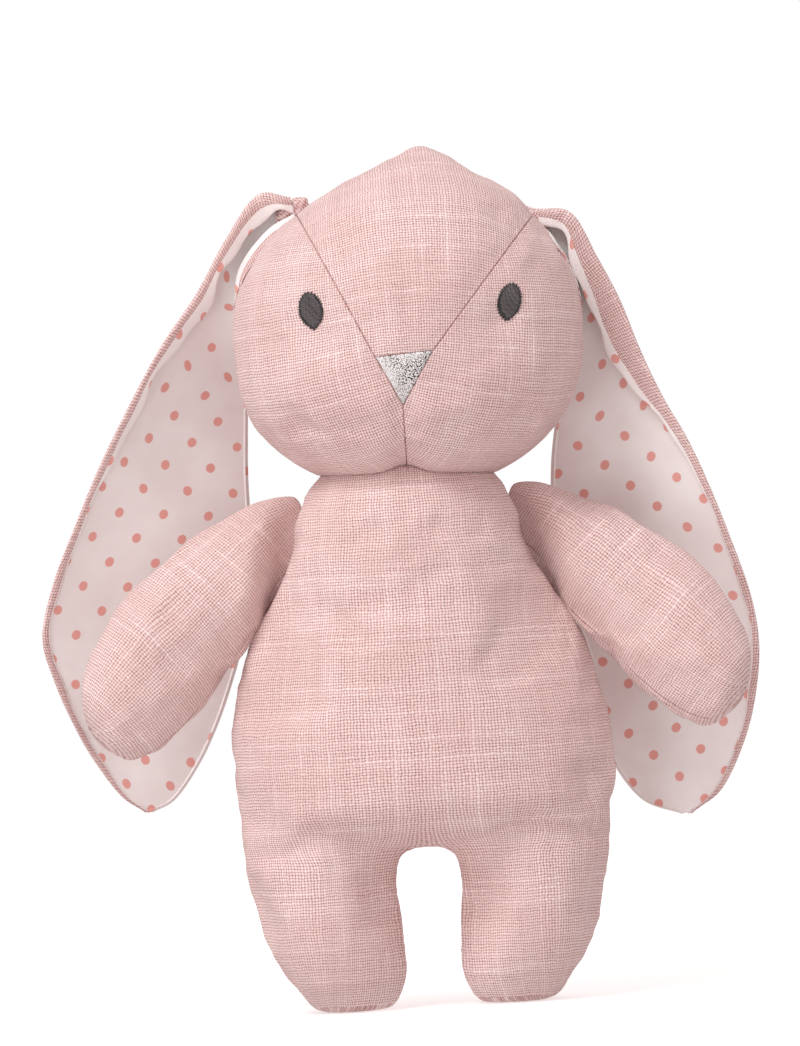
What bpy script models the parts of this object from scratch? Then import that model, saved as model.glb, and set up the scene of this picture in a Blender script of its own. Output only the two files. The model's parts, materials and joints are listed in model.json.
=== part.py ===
"""Sewn linen rabbit, 250 mm tall, as separate cloth panels, stuffings and stitches.

Metres, +Z up. The toy stands on z = 0 and faces -Y. Its own left is at +X. Each stuffed form
is an ellipsoid whose half width and half depth vary along its length. Its cloth panels are
shells cut from that surface along the seams, and its stuffing fills the inside. Every moving
piece hangs on an empty that sits on its joint's axis.
"""

import math

import bmesh
import bpy
import numpy as np
from mathutils import Matrix, Vector

# Cloth and sewing
CLOTH = 0.0009  # a panel's thickness, with its turned-in edge
SEAM_GAP = 0.0006  # between two panels that are sewn together
STUFFING_INSET = 0.0016  # from a panel's outside to the stuffing
THREAD_GAP = 0.0004
SEGMENTS, RINGS = 22, 14
LEG_SEGMENTS, LEG_RINGS = 18, 12
ARM_SEGMENTS, ARM_RINGS = 14, 11
SHORTEST_EDGE = 0.0008

# Joints
NECK = Vector((0.0, 0.0, 0.130))
HIP_HEIGHT, HIP_OUT = 0.052, 0.031
HIP_SOCKET_RADIUS = 0.0225
SEAM_TOP = Vector((0.0325, 0.0, 0.149))  # arm seam, on the left side
SEAM_BOTTOM = Vector((0.0413, 0.0, 0.1215))
ARM_PIVOT = Vector((0.0515, -0.002, 0.1275))
EAR_SWING = {"left": Vector((0.046, 0.008, 0.232)), "right": Vector((-0.0315, 0.008, 0.238))}
EAR_LIFT = {"left": Vector((0.053, 0.008, 0.2235)), "right": Vector((-0.0395, 0.008, 0.2305))}

# Head: bottom, top, then rows of height, centre, half width, half depth in front and behind
HEAD_SPAN = (0.150, 0.250)
HEAD_SECTIONS = (
    (0.150, 0.002, 0.0570, 0.0570, 0.0570),
    (0.160, 0.002, 0.0570, 0.0560, 0.0550),
    (0.171, 0.002, 0.0546, 0.0500, 0.0470),
    (0.195, 0.003, 0.0518, 0.0448, 0.0430),
    (0.222, 0.004, 0.0485, 0.0435, 0.0415),
    (0.236, 0.007, 0.0418, 0.0410, 0.0390),
    (0.250, 0.010, 0.0220, 0.0220, 0.0220),
)
HEAD_RIM = 0.158  # the neck opening's edge
HEAD_RECESS_RADIUS = 0.0386
SIDE_SEAM_Y = 0.003
GUSSET_TOP = {"left": (0.042, 0.228), "right": (-0.026, 0.232)}
NOSE_CORNER = {"left": (0.0107, 0.192), "right": (-0.0066, 0.190)}
NOSE_TIP = (0.0019, 0.1765)
EYE_PLACE = {"left": (0.0335, 0.2045), "right": (-0.0246, 0.205)}
EYE_RADII = (0.00335, 0.0006, 0.00525)

# Trunk: bottom, top, then rows as for the head. The upper rows close it in a ball of 36 mm
TRUNK_SPAN = (0.036, 0.166)
TRUNK_SECTIONS = (
    (0.036, 0.0, 0.0800, 0.0480, 0.0480),
    (0.057, 0.0, 0.0745, 0.0432, 0.0425),
    (0.066, 0.0, 0.0655, 0.0386, 0.0378),
    (0.080, 0.0, 0.0578, 0.0340, 0.0330),
    (0.107, 0.0, 0.0477, 0.0311, 0.0290),
    (0.121, 0.0, 0.0415, 0.0320, 0.0300),
    (0.130, 0.0, 0.0408, 0.0346, 0.0330),
    (0.140, 0.0, 0.0424, 0.0394, 0.0390),
    (0.150, 0.0, 0.0450, 0.0450, 0.0450),
    (0.158, 0.0, 0.0466, 0.0466, 0.0466),
    (0.166, 0.0, 0.0478, 0.0478, 0.0478),
)
TRUNK_RIM = 0.059  # the fold where the legs begin
NECK_STITCH_RADIUS, NECK_STITCH_HEIGHT, NECK_THREAD = 0.0257, 0.157, 0.0007
CLOSING_BOTTOM, CLOSING_TOP, CLOSING_THREAD = 0.082, 0.112, 0.0005

# Leg, on the left side: bottom, top, then rows as for the head
LEG_SPAN = (-0.003, 0.0720)
LEG_SECTIONS = (
    (-0.003, 0.0233, 0.0250, 0.0290, 0.0290),
    (0.0076, 0.0245, 0.0224, 0.0260, 0.0260),
    (0.019, 0.0278, 0.0214, 0.0238, 0.0238),
    (0.031, 0.0300, 0.0204, 0.0227, 0.0227),
    (0.043, 0.0308, 0.0221, 0.0226, 0.0226),
    (0.052, 0.0310, 0.0228, 0.0228, 0.0228),
    (0.065, 0.0310, 0.0256, 0.0256, 0.0256),
    (0.0720, 0.0310, 0.0274, 0.0274, 0.0274),
)
LEG_PANEL_TOP = 0.066

# Arm, along its own axis from the pivot: root end, hand end, then distance, half width and
# half thickness
ARM_SPAN = (-0.010, 0.0625)
ARM_SECTIONS = (
    (-0.010, 0.0145, 0.0090),
    (0.000, 0.0146, 0.0085),
    (0.012, 0.0152, 0.0090),
    (0.025, 0.0170, 0.0115),
    (0.038, 0.0190, 0.0137),
    (0.0625, 0.0240, 0.0180),
)
ARM_DROOP, ARM_FORWARD = math.radians(43), math.radians(12)
ARM_ROOT_CLEARANCE = 0.0104
ARM_STUFFING_INSET = 0.0019
ARM_OPENING = -0.0080  # where the panels end, sewn flat
ARM_SEAM_THICKNESS = 0.0016

# Ears: rows of height, centre and half width, top to tip
EAR_OUTLINE = {
    "left": (
        (0.2285, 0.0530, 0.0),
        (0.2235, 0.0530, 0.0050),
        (0.212, 0.0565, 0.0050),
        (0.201, 0.0610, 0.0062),
        (0.189, 0.0636, 0.0088),
        (0.177, 0.0648, 0.0125),
        (0.1655, 0.0628, 0.0186),
        (0.154, 0.0653, 0.0217),
        (0.130, 0.0703, 0.0250),
        (0.104, 0.0762, 0.0260),
        (0.0895, 0.0763, 0.0232),
        (0.078, 0.0762, 0.0205),
        (0.066, 0.0758, 0.0155),
        (0.057, 0.0755, 0.0090),
        (0.0515, 0.0755, 0.0),
    ),
    "right": (
        (0.236, -0.0395, 0.0),
        (0.2305, -0.0395, 0.0055),
        (0.218, -0.0487, 0.0060),
        (0.201, -0.0580, 0.0085),
        (0.183, -0.0637, 0.0148),
        (0.165, -0.0670, 0.0205),
        (0.148, -0.0713, 0.0247),
        (0.132, -0.0748, 0.0272),
        (0.116, -0.0770, 0.0276),
        (0.101, -0.0780, 0.0255),
        (0.0895, -0.0788, 0.0215),
        (0.078, -0.0791, 0.0160),
        (0.068, -0.0791, 0.0095),
        (0.0615, -0.0791, 0.0),
    ),
}
EAR_LAYER = 0.0014
EAR_LEAN_BACK = 0.10  # how far the ear falls back for each metre that it hangs down
EAR_FOLD_RADII = (0.0035, 0.0045, 0.0045)
EAR_STEPS = 20

LINEN = (0.72, 0.33, 0.31)
COLOURS = {
    "linen": (LINEN, 0.9, 0.0),
    "nose_cloth": ((0.55, 0.52, 0.50), 0.45, 0.6),
    "eye_thread": ((0.05, 0.05, 0.06), 0.7, 0.0),
    "ear_cotton": ((0.78, 0.74, 0.70), 0.9, 0.0),
    "sewing_thread": ((0.45, 0.18, 0.17), 0.8, 0.0),
    "stuffing": ((0.90, 0.89, 0.86), 1.0, 0.0),
}
SIDES = {"left": 1, "right": -1}


# ---- scene ----


def clear_scene():
    for obj in list(bpy.data.objects):
        bpy.data.objects.remove(obj, do_unlink=True)


def new_collection(name):
    collection = bpy.data.collections.new(name)
    bpy.context.scene.collection.children.link(collection)
    return collection


def new_material(name, cloth):
    colour, roughness, metallic = COLOURS[cloth]
    material = bpy.data.materials.new(name)
    material.use_nodes = True
    shader = material.node_tree.nodes["Principled BSDF"]
    shader.inputs["Base Color"].default_value = (*colour, 1.0)
    shader.inputs["Roughness"].default_value = roughness
    shader.inputs["Metallic"].default_value = metallic
    material.diffuse_color = (*colour, 1.0)
    return material


def new_pivot(name, place, parent=None):
    """An empty on a joint's axis. place is in the toy's frame."""
    pivot = bpy.data.objects.new(name, None)
    pivot.empty_display_size = 0.01
    pivot["place"] = place
    pivot.location = place - (Vector(parent["place"]) if parent else Vector())
    pivot.parent = parent
    RABBIT.objects.link(pivot)
    return pivot


def new_piece(name, form, cloth, pivot, thickness=0.0):
    """An object from a bmesh in the toy's frame. A thickness makes an open surface a shell."""
    bmesh.ops.translate(form, verts=form.verts, vec=-Vector(pivot["place"]))
    mesh = bpy.data.meshes.new(name)
    form.to_mesh(mesh)
    form.free()
    mesh.shade_smooth()
    mesh.materials.append(new_material(name, cloth))
    piece = bpy.data.objects.new(name, mesh)
    piece.parent = pivot
    RABBIT.objects.link(piece)
    if thickness:
        shell = piece.modifiers.new("Cloth", "SOLIDIFY")
        shell.thickness = thickness
        shell.offset = -1
    return piece


# ---- forms ----


def smooth(x, rows, column):
    """The value in a column of rows at x, on a smooth curve through the rows."""
    stations = np.array([row[0] for row in rows])
    values = np.array([row[column] for row in rows])
    slopes = np.gradient(values, stations)
    i = int(np.clip(np.searchsorted(stations, x) - 1, 0, len(stations) - 2))
    span = stations[i + 1] - stations[i]
    t = float(np.clip((x - stations[i]) / span, 0, 1))
    start = (1 + 2 * t) * (1 - t) ** 2 * values[i] + t * (1 - t) ** 2 * span * slopes[i]
    end = t * t * (3 - 2 * t) * values[i + 1] + t * t * (t - 1) * span * slopes[i + 1]
    return float(start + end)


def ball(place, segments=SEGMENTS, rings=RINGS):
    """A sphere with each point of the unit sphere moved to place(point).

    It starts turned by half a segment, so that the seams run between its meridians.
    """
    form = bmesh.new()
    half_segment = Matrix.Rotation(math.pi / segments, 4, "Z")
    bmesh.ops.create_uvsphere(
        form, u_segments=segments, v_segments=rings, radius=1, matrix=half_segment
    )
    for vert in form.verts:
        vert.co = place(vert.co)
    form.normal_update()
    bmesh.ops.recalc_face_normals(form, faces=form.faces)
    return form


def standing_form(span, sections, side=1):
    """How a head, trunk or leg fills the unit sphere: upright, with varying girth."""
    middle, half = sum(span) / 2, (span[1] - span[0]) / 2

    def place(unit):
        height = middle + half * unit.z
        depth = smooth(height, sections, 3 if unit.y < 0 else 4)
        width = smooth(height, sections, 2)
        centre = side * smooth(height, sections, 1)
        return Vector((centre + width * unit.x, depth * unit.y, height))

    return place


def grown(form, distance):
    """Moves a closed form's surface outward, or inward where distance is negative."""
    form.normal_update()
    moved = [vert.co + vert.normal * distance for vert in form.verts]
    for vert, place in zip(form.verts, moved):
        vert.co = place
    return form


def distance(point, seam):
    """How far a point lies from a seam's plane, on the side of its normal."""
    return (point - seam[0]).dot(seam[1])


def upright_seam(start, end):
    """A seam's plane, through two (x, z) points and along Y. Its normal is to the left."""
    run = Vector((end[0] - start[0], 0, end[1] - start[1]))
    return Vector((start[0], 0, start[1])), Vector((run.z, 0, -run.x)).normalized()


def cut_panel(form, seams, belongs):
    """Keeps the faces of an open surface that belong to a panel, cut clear of its seams."""
    for place, normal in seams:
        for side in (-1, 1):
            everything = form.verts[:] + form.edges[:] + form.faces[:]
            line = place + normal * (side * SEAM_GAP / 2)
            bmesh.ops.bisect_plane(form, geom=everything, plane_co=line, plane_no=normal)
    outside = [face for face in form.faces if not belongs(face.calc_center_median())]
    bmesh.ops.delete(form, geom=outside, context="FACES")
    bmesh.ops.remove_doubles(form, verts=form.verts, dist=SHORTEST_EDGE)
    return form


def cut_flat(form, height):
    """Cuts a closed form flat at a height and closes it there."""
    everything = form.verts[:] + form.edges[:] + form.faces[:]
    cut = bmesh.ops.bisect_plane(
        form,
        geom=everything,
        plane_co=Vector((0, 0, height)),
        plane_no=Vector((0, 0, 1)),
        clear_inner=True,
    )
    rim = [item for item in cut["geom_cut"] if isinstance(item, bmesh.types.BMEdge)]
    bmesh.ops.holes_fill(form, edges=rim)
    bmesh.ops.recalc_face_normals(form, faces=form.faces)
    return form


# ---- head ----

CLEAR = SEAM_GAP / 3
ACROSS = Vector((1, 0, 0))
UP = Vector((0, 0, 1))
SIDE_SEAM = (Vector((0, SIDE_SEAM_Y, 0)), Vector((0, 1, 0)))
HEAD_OPENING = (Vector((0, 0, HEAD_RIM)), UP)
CHIN_SEAM = (Vector((NOSE_TIP[0], 0, 0)), ACROSS)
BACK_SEAM = (Vector((0, 0, 0)), ACROSS)
GUSSET_SEAM = {side: upright_seam(NOSE_CORNER[side], GUSSET_TOP[side]) for side in SIDES}
NOSE_SEAM = {side: upright_seam(NOSE_TIP, NOSE_CORNER[side]) for side in SIDES}
BRIDGE = upright_seam(NOSE_CORNER["left"], NOSE_CORNER["right"])
NOSE_END = (Vector((0, 0, NOSE_TIP[1])), UP)
GUSSET_SEAMS = (SIDE_SEAM, BRIDGE, *GUSSET_SEAM.values())
NOSE_SEAMS = (BRIDGE, *NOSE_SEAM.values())
CHEEK_SEAMS = (SIDE_SEAM, HEAD_OPENING, CHIN_SEAM, BRIDGE, NOSE_END)
HEAD_BACK_SEAMS = (SIDE_SEAM, HEAD_OPENING, BACK_SEAM)


def head_form():
    return ball(standing_form(HEAD_SPAN, HEAD_SECTIONS))


def in_face(point):
    return distance(point, SIDE_SEAM) < -CLEAR and distance(point, HEAD_OPENING) > CLEAR


def in_gusset(point):
    inside = distance(point, GUSSET_SEAM["left"]) < -CLEAR
    inside = inside and distance(point, GUSSET_SEAM["right"]) > CLEAR
    return in_face(point) and inside and distance(point, BRIDGE) > CLEAR


def in_nose(point):
    inside = distance(point, NOSE_SEAM["left"]) < -CLEAR
    inside = inside and distance(point, NOSE_SEAM["right"]) > CLEAR
    return in_face(point) and inside and distance(point, BRIDGE) < -CLEAR


def in_cheek(side):
    outward = SIDES[side]

    def belongs(point):
        if distance(point, BRIDGE) > 0:
            edge = GUSSET_SEAM[side]
        elif distance(point, NOSE_END) > 0:
            edge = NOSE_SEAM[side]
        else:
            edge = CHIN_SEAM
        return in_face(point) and outward * distance(point, edge) > CLEAR

    return belongs


def in_head_back(side):
    outward = SIDES[side]

    def belongs(point):
        behind = distance(point, SIDE_SEAM) > CLEAR and distance(point, HEAD_OPENING) > CLEAR
        return behind and outward * distance(point, BACK_SEAM) > CLEAR

    return belongs


def head_stuffing():
    """The head's filling, hollowed underneath to sit on the trunk's round top."""
    form = grown(head_form(), -STUFFING_INSET)
    for vert in form.verts:
        reach = vert.co - NECK
        if reach.length < HEAD_RECESS_RADIUS:
            vert.co = NECK + reach * (HEAD_RECESS_RADIUS / reach.length)
    return form


def eye(side):
    """A flat oval of satin stitch that lies on the cheek."""
    x, z = EYE_PLACE[side]
    middle, half = sum(HEAD_SPAN) / 2, (HEAD_SPAN[1] - HEAD_SPAN[0]) / 2

    def face_at(x, z):
        across = (x - smooth(z, HEAD_SECTIONS, 1)) / smooth(z, HEAD_SECTIONS, 2)
        level = (z - middle) / half
        depth = smooth(z, HEAD_SECTIONS, 3) * math.sqrt(1 - across**2 - level**2)
        return Vector((x, -depth, z))

    step = 0.002
    along = face_at(x + step, z) - face_at(x - step, z)
    rise = face_at(x, z + step) - face_at(x, z - step)
    outward = along.cross(rise).normalized()
    stand_off = EYE_RADII[1] + 2 * THREAD_GAP
    form = bmesh.new()
    bmesh.ops.create_uvsphere(form, u_segments=12, v_segments=6, radius=1)
    bmesh.ops.scale(form, vec=EYE_RADII, verts=form.verts)
    turn = outward.to_track_quat("-Y", "Z").to_matrix()
    bmesh.ops.rotate(form, cent=Vector(), matrix=turn, verts=form.verts)
    bmesh.ops.translate(form, vec=face_at(x, z) + outward * stand_off, verts=form.verts)
    return form


def make_head(pivot):
    gusset = cut_panel(head_form(), GUSSET_SEAMS, in_gusset)
    new_piece("forehead_gusset", gusset, "linen", pivot, CLOTH)
    nose = cut_panel(head_form(), NOSE_SEAMS, in_nose)
    new_piece("nose_patch", nose, "nose_cloth", pivot, CLOTH)
    for side in SIDES:
        seams = (*CHEEK_SEAMS, GUSSET_SEAM[side], NOSE_SEAM[side])
        cheek = cut_panel(head_form(), seams, in_cheek(side))
        new_piece(f"{side}_cheek", cheek, "linen", pivot, CLOTH)
        back = cut_panel(head_form(), HEAD_BACK_SEAMS, in_head_back(side))
        new_piece(f"{side}_head_back", back, "linen", pivot, CLOTH)
        new_piece(f"{side}_eye", eye(side), "eye_thread", pivot)
    new_piece("head_stuffing", head_stuffing(), "stuffing", pivot)


def make_neck_stitches(pivot):
    form = bmesh.new()
    bmesh.ops.create_circle(form, segments=6, radius=NECK_THREAD)
    upright = Matrix.Rotation(math.pi / 2, 3, "X")
    bmesh.ops.rotate(form, cent=Vector(), matrix=upright, verts=form.verts)
    start = Vector((NECK_STITCH_RADIUS, 0, NECK_STITCH_HEIGHT))
    bmesh.ops.translate(form, vec=start, verts=form.verts)
    bmesh.ops.spin(
        form,
        geom=form.edges[:],
        cent=Vector(),
        axis=UP,
        angle=2 * math.pi,
        steps=28,
        use_merge=True,
    )
    bmesh.ops.remove_doubles(form, verts=form.verts, dist=1e-6)
    bmesh.ops.recalc_face_normals(form, faces=form.faces)
    new_piece("neck_stitches", form, "sewing_thread", pivot)


# ---- trunk ----

TRUNK_SIDE_SEAM = (Vector(), Vector((0, 1, 0)))
TRUNK_OPENING = (Vector((0, 0, TRUNK_RIM)), UP)


def trunk_form():
    return ball(standing_form(TRUNK_SPAN, TRUNK_SECTIONS))


def in_trunk_front(point):
    return distance(point, TRUNK_SIDE_SEAM) < -CLEAR and distance(point, TRUNK_OPENING) > CLEAR


def in_trunk_back(side):
    outward = SIDES[side]

    def belongs(point):
        behind = distance(point, TRUNK_SIDE_SEAM) > CLEAR
        above = distance(point, TRUNK_OPENING) > CLEAR
        return behind and above and outward * distance(point, BACK_SEAM) > CLEAR

    return belongs


def hip_cutter(side):
    """A ball that keeps the trunk's filling clear of a turning leg."""
    form = bmesh.new()
    bmesh.ops.create_uvsphere(form, u_segments=18, v_segments=12, radius=HIP_SOCKET_RADIUS)
    mesh = bpy.data.meshes.new(f"{side}_hip_cutter")
    form.to_mesh(mesh)
    form.free()
    cutter = bpy.data.objects.new(f"{side}_hip_cutter", mesh)
    cutter.location = (SIDES[side] * HIP_OUT, 0, HIP_HEIGHT)
    cutter.hide_render = True
    cutter.display_type = "WIRE"
    CUTTERS.objects.link(cutter)
    return cutter


def make_closing_stitches(pivot):
    """The ladder stitch in the centre back seam, where the toy was turned and filled."""
    trunk_at = standing_form(TRUNK_SPAN, TRUNK_SECTIONS)
    middle, half = sum(TRUNK_SPAN) / 2, (TRUNK_SPAN[1] - TRUNK_SPAN[0]) / 2
    curve = bpy.data.curves.new("closing_stitches", "CURVE")
    curve.dimensions = "3D"
    curve.bevel_depth = CLOSING_THREAD
    curve.bevel_resolution = 2
    curve.use_fill_caps = True
    heights = np.linspace(CLOSING_BOTTOM, CLOSING_TOP, 8)
    thread = curve.splines.new("POLY")
    thread.points.add(len(heights) - 1)
    for point, height in zip(thread.points, heights):
        level = (height - middle) / half
        back = trunk_at(Vector((0, math.sqrt(1 - level**2), level)))
        back.y += CLOSING_THREAD + 2 * THREAD_GAP
        point.co = (*(back - Vector(pivot["place"])), 1)
    curve.materials.append(new_material("closing_stitches", "sewing_thread"))
    stitches = bpy.data.objects.new("closing_stitches", curve)
    stitches.parent = pivot
    RABBIT.objects.link(stitches)


def make_trunk(pivot):
    seams = (TRUNK_SIDE_SEAM, TRUNK_OPENING, BACK_SEAM)
    front = cut_panel(trunk_form(), seams[:2], in_trunk_front)
    new_piece("trunk_front", front, "linen", pivot, CLOTH)
    stuffing = cut_flat(grown(trunk_form(), -STUFFING_INSET), TRUNK_RIM)
    filling = new_piece("trunk_stuffing", stuffing, "stuffing", pivot)
    for side in SIDES:
        back = cut_panel(trunk_form(), seams, in_trunk_back(side))
        new_piece(f"{side}_trunk_back", back, "linen", pivot, CLOTH)
        socket = filling.modifiers.new(f"{side}_hip", "BOOLEAN")
        socket.operation = "DIFFERENCE"
        socket.object = hip_cutter(side)
    make_closing_stitches(pivot)


# ---- limbs ----


def leg_form(side, inset=0.0):
    """A leg with a round top that turns in the hip and a sole that is flat on the floor."""
    place = standing_form(LEG_SPAN, LEG_SECTIONS, SIDES[side])
    form = ball(place, LEG_SEGMENTS, LEG_RINGS)
    if inset:
        grown(form, -inset)
    for vert in form.verts:
        vert.co.z = max(vert.co.z, inset)
    return form


def make_leg(side, pivot):
    top = (Vector((0, 0, LEG_PANEL_TOP)), UP)
    for name, facing in (("front", -1), ("back", 1)):

        def belongs(point):
            below = distance(point, top) < -CLEAR
            return below and facing * distance(point, TRUNK_SIDE_SEAM) > CLEAR

        panel = cut_panel(leg_form(side), (TRUNK_SIDE_SEAM, top), belongs)
        new_piece(f"{side}_leg_{name}", panel, "linen", pivot, CLOTH)
    new_piece(f"{side}_leg_stuffing", leg_form(side, STUFFING_INSET), "stuffing", pivot)


def arm_axes(side):
    """Unit vectors along an arm, across its width and through its thickness."""
    out = SIDES[side]
    level = math.cos(ARM_FORWARD)
    along = Vector((out * math.cos(ARM_DROOP) * level, -math.sin(ARM_FORWARD), -math.sin(ARM_DROOP) * level))
    across = Vector((out * math.sin(ARM_DROOP), 0, math.cos(ARM_DROOP)))
    return along, across, along.cross(across).normalized()


def arm_form(side, inset=0.0):
    along, across, through = arm_axes(side)
    pivot = mirrored(ARM_PIVOT, side)
    middle, half = sum(ARM_SPAN) / 2, (ARM_SPAN[1] - ARM_SPAN[0]) / 2 - inset

    def place(unit):
        run = middle + half * unit.z
        width = (smooth(run, ARM_SECTIONS, 1) - inset) * unit.x
        thickness = (smooth(run, ARM_SECTIONS, 2) - inset) * unit.y
        return pivot + along * run + across * width + through * thickness

    return ball(place, ARM_SEGMENTS, ARM_RINGS)


def mirrored(place, side):
    return Vector((SIDES[side] * place.x, place.y, place.z))


def make_arm(side, pivot):
    along, _, through = arm_axes(side)
    place = mirrored(ARM_PIVOT, side)
    edge_seam = (place, through)
    opening = (place + along * ARM_OPENING, along)
    for name, facing in (("front", -1), ("back", 1)):
        forward = facing if through.y > 0 else -facing

        def belongs(point):
            beyond = distance(point, opening) > CLEAR
            return beyond and forward * distance(point, edge_seam) > CLEAR

        panel = cut_panel(arm_form(side), (edge_seam, opening), belongs)
        new_piece(f"{side}_arm_{name}", panel, "linen", pivot, CLOTH)
    new_piece(f"{side}_arm_stuffing", arm_form(side, ARM_STUFFING_INSET), "stuffing", pivot)


def make_arm_seam(side, pivot):
    """The flat, stitched arm end: straight along the side seam, hollow round the arm."""
    top, bottom = mirrored(SEAM_TOP, side), mirrored(SEAM_BOTTOM, side)
    centre = mirrored(ARM_PIVOT, side)
    reach_top = math.atan2(top.z - 0.001 - centre.z, abs(top.x) - abs(centre.x))
    reach_bottom = math.atan2(bottom.z + 0.001 - centre.z, abs(bottom.x) - abs(centre.x))
    reach_bottom += 2 * math.pi if reach_bottom < 0 else 0
    outline = [top, bottom]
    for angle in np.linspace(reach_bottom, reach_top, 9):
        across = SIDES[side] * ARM_ROOT_CLEARANCE * math.cos(angle)
        rise = ARM_ROOT_CLEARANCE * math.sin(angle)
        outline.append(Vector((centre.x + across, 0, centre.z + rise)))
    form = bmesh.new()
    edge = [form.verts.new((point.x, -ARM_SEAM_THICKNESS / 2, point.z)) for point in outline]
    front = form.faces.new(edge)
    sides = bmesh.ops.extrude_face_region(form, geom=[front])
    back = [item for item in sides["geom"] if isinstance(item, bmesh.types.BMVert)]
    bmesh.ops.translate(form, vec=Vector((0, ARM_SEAM_THICKNESS, 0)), verts=back)
    bmesh.ops.recalc_face_normals(form, faces=form.faces)
    new_piece(f"{side}_arm_seam", form, "sewing_thread", pivot)


# ---- ears ----


def ear_layer(side, offset):
    """One layer of an ear: a flat leaf that hangs from its base and leans back."""
    rows = EAR_OUTLINE[side]
    rising = rows[::-1]
    base = EAR_LIFT[side]
    middle, half = (rows[0][0] + rows[-1][0]) / 2, (rows[0][0] - rows[-1][0]) / 2
    heights = [middle + half * math.cos(math.pi * i / EAR_STEPS) for i in range(EAR_STEPS + 1)]
    form = bmesh.new()

    def corner(height, edge):
        x = smooth(height, rising, 1) + edge * max(smooth(height, rising, 2), 0)
        return form.verts.new((x, base.y + offset + EAR_LEAN_BACK * (base.z - height), height))

    top, tip = corner(heights[0], 0), corner(heights[-1], 0)
    pairs = [(corner(height, -1), corner(height, 1)) for height in heights[1:-1]]
    form.faces.new((top, *pairs[0]))
    for upper, lower in zip(pairs, pairs[1:]):
        form.faces.new((upper[1], upper[0], lower[0], lower[1]))
    form.faces.new((*reversed(pairs[-1]), tip))
    bmesh.ops.recalc_face_normals(form, faces=form.faces)
    form.normal_update()
    if next(iter(form.faces)).normal.y > 0:
        bmesh.ops.reverse_faces(form, faces=form.faces)
    return form


def make_ear(side, pivot):
    lining = ear_layer(side, -SEAM_GAP / 2 - EAR_LAYER)
    new_piece(f"{side}_ear_lining", lining, "ear_cotton", pivot, EAR_LAYER)
    outer = ear_layer(side, SEAM_GAP / 2)
    new_piece(f"{side}_ear_outer", outer, "linen", pivot, EAR_LAYER)


def make_ear_fold(side, pivot):
    """The pleated ear base that is caught in the crown seam."""
    form = bmesh.new()
    bmesh.ops.create_uvsphere(form, u_segments=12, v_segments=8, radius=1)
    bmesh.ops.scale(form, vec=EAR_FOLD_RADII, verts=form.verts)
    bmesh.ops.translate(form, vec=EAR_SWING[side], verts=form.verts)
    new_piece(f"{side}_ear_fold", form, "linen", pivot)


# ---- assembly ----


def build():
    trunk = new_pivot("trunk", Vector())
    make_trunk(trunk)
    turn = new_pivot("head_turn", NECK, trunk)
    make_neck_stitches(turn)
    nod = new_pivot("head_nod", NECK, turn)
    make_head(nod)
    for side in SIDES:
        seam_middle = (SEAM_TOP + SEAM_BOTTOM) / 2
        swing = new_pivot(f"{side}_arm_swing", mirrored(seam_middle, side), trunk)
        make_arm_seam(side, swing)
        make_arm(side, new_pivot(f"{side}_arm_raise", mirrored(ARM_PIVOT, side), swing))
        hip = Vector((SIDES[side] * HIP_OUT, 0, HIP_HEIGHT))
        make_leg(side, new_pivot(f"{side}_leg_swing", hip, trunk))
        ear_swing = new_pivot(f"{side}_ear_swing", EAR_SWING[side], nod)
        make_ear_fold(side, ear_swing)
        make_ear(side, new_pivot(f"{side}_ear_lift", EAR_LIFT[side], ear_swing))


clear_scene()
RABBIT = new_collection("linen_rabbit")
CUTTERS = new_collection("cutters")
build()
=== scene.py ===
"""The looks of the sewn linen rabbit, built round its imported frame.

The toy stands on z = 0, faces -Y, and its own left is at +X. Tables and lengths are in
millimetres, and points turn into metres when they go into a mesh. Each stuffed form starts as
a closed ball or a union of balls, swells as cloth that is held at its seams, is subdivided,
and is then cut into the panels that a sewer would cut. The edges of the panels roll inward,
so that two of them meet in a seam. Every panel carries a flat pattern, in metres, as its UV
map, and the weave follows that pattern.
"""

import json
import math

import bmesh
import bpy
import numpy as np
from mathutils import Matrix, Vector
from mathutils.bvhtree import BVHTree
from mathutils.kdtree import KDTree


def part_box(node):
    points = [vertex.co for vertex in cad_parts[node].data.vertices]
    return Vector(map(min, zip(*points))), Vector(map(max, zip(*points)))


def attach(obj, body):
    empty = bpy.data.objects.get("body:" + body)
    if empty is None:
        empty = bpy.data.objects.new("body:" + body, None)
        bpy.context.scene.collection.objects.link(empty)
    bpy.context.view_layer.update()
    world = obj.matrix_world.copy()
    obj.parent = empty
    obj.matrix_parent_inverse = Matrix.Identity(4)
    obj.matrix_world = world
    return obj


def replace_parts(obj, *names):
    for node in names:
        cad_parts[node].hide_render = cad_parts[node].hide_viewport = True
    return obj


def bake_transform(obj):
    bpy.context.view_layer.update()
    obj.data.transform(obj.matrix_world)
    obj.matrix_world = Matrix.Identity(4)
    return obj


MM = 0.001
SIDES = {"left": 1, "right": -1}
PATTERN = "pattern"

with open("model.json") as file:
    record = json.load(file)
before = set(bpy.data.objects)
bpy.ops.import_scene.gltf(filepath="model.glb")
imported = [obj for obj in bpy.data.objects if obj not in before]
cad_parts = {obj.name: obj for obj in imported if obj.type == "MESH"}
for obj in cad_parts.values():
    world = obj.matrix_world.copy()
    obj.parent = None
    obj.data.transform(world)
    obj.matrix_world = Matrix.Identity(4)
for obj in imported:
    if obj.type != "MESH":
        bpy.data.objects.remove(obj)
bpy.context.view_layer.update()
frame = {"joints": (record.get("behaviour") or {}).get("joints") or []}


# ---- places from the frame, in millimetres ----


def joint_place(name):
    joint = next(joint for joint in frame["joints"] if joint["name"] == name)
    return Vector(joint["pos_m"]) / MM


def box_of(*nodes):
    """Lowest and highest corner of several CAD nodes together."""
    corners = [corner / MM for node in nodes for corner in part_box(node)]
    return np.min(corners, axis=0), np.max(corners, axis=0)


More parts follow.
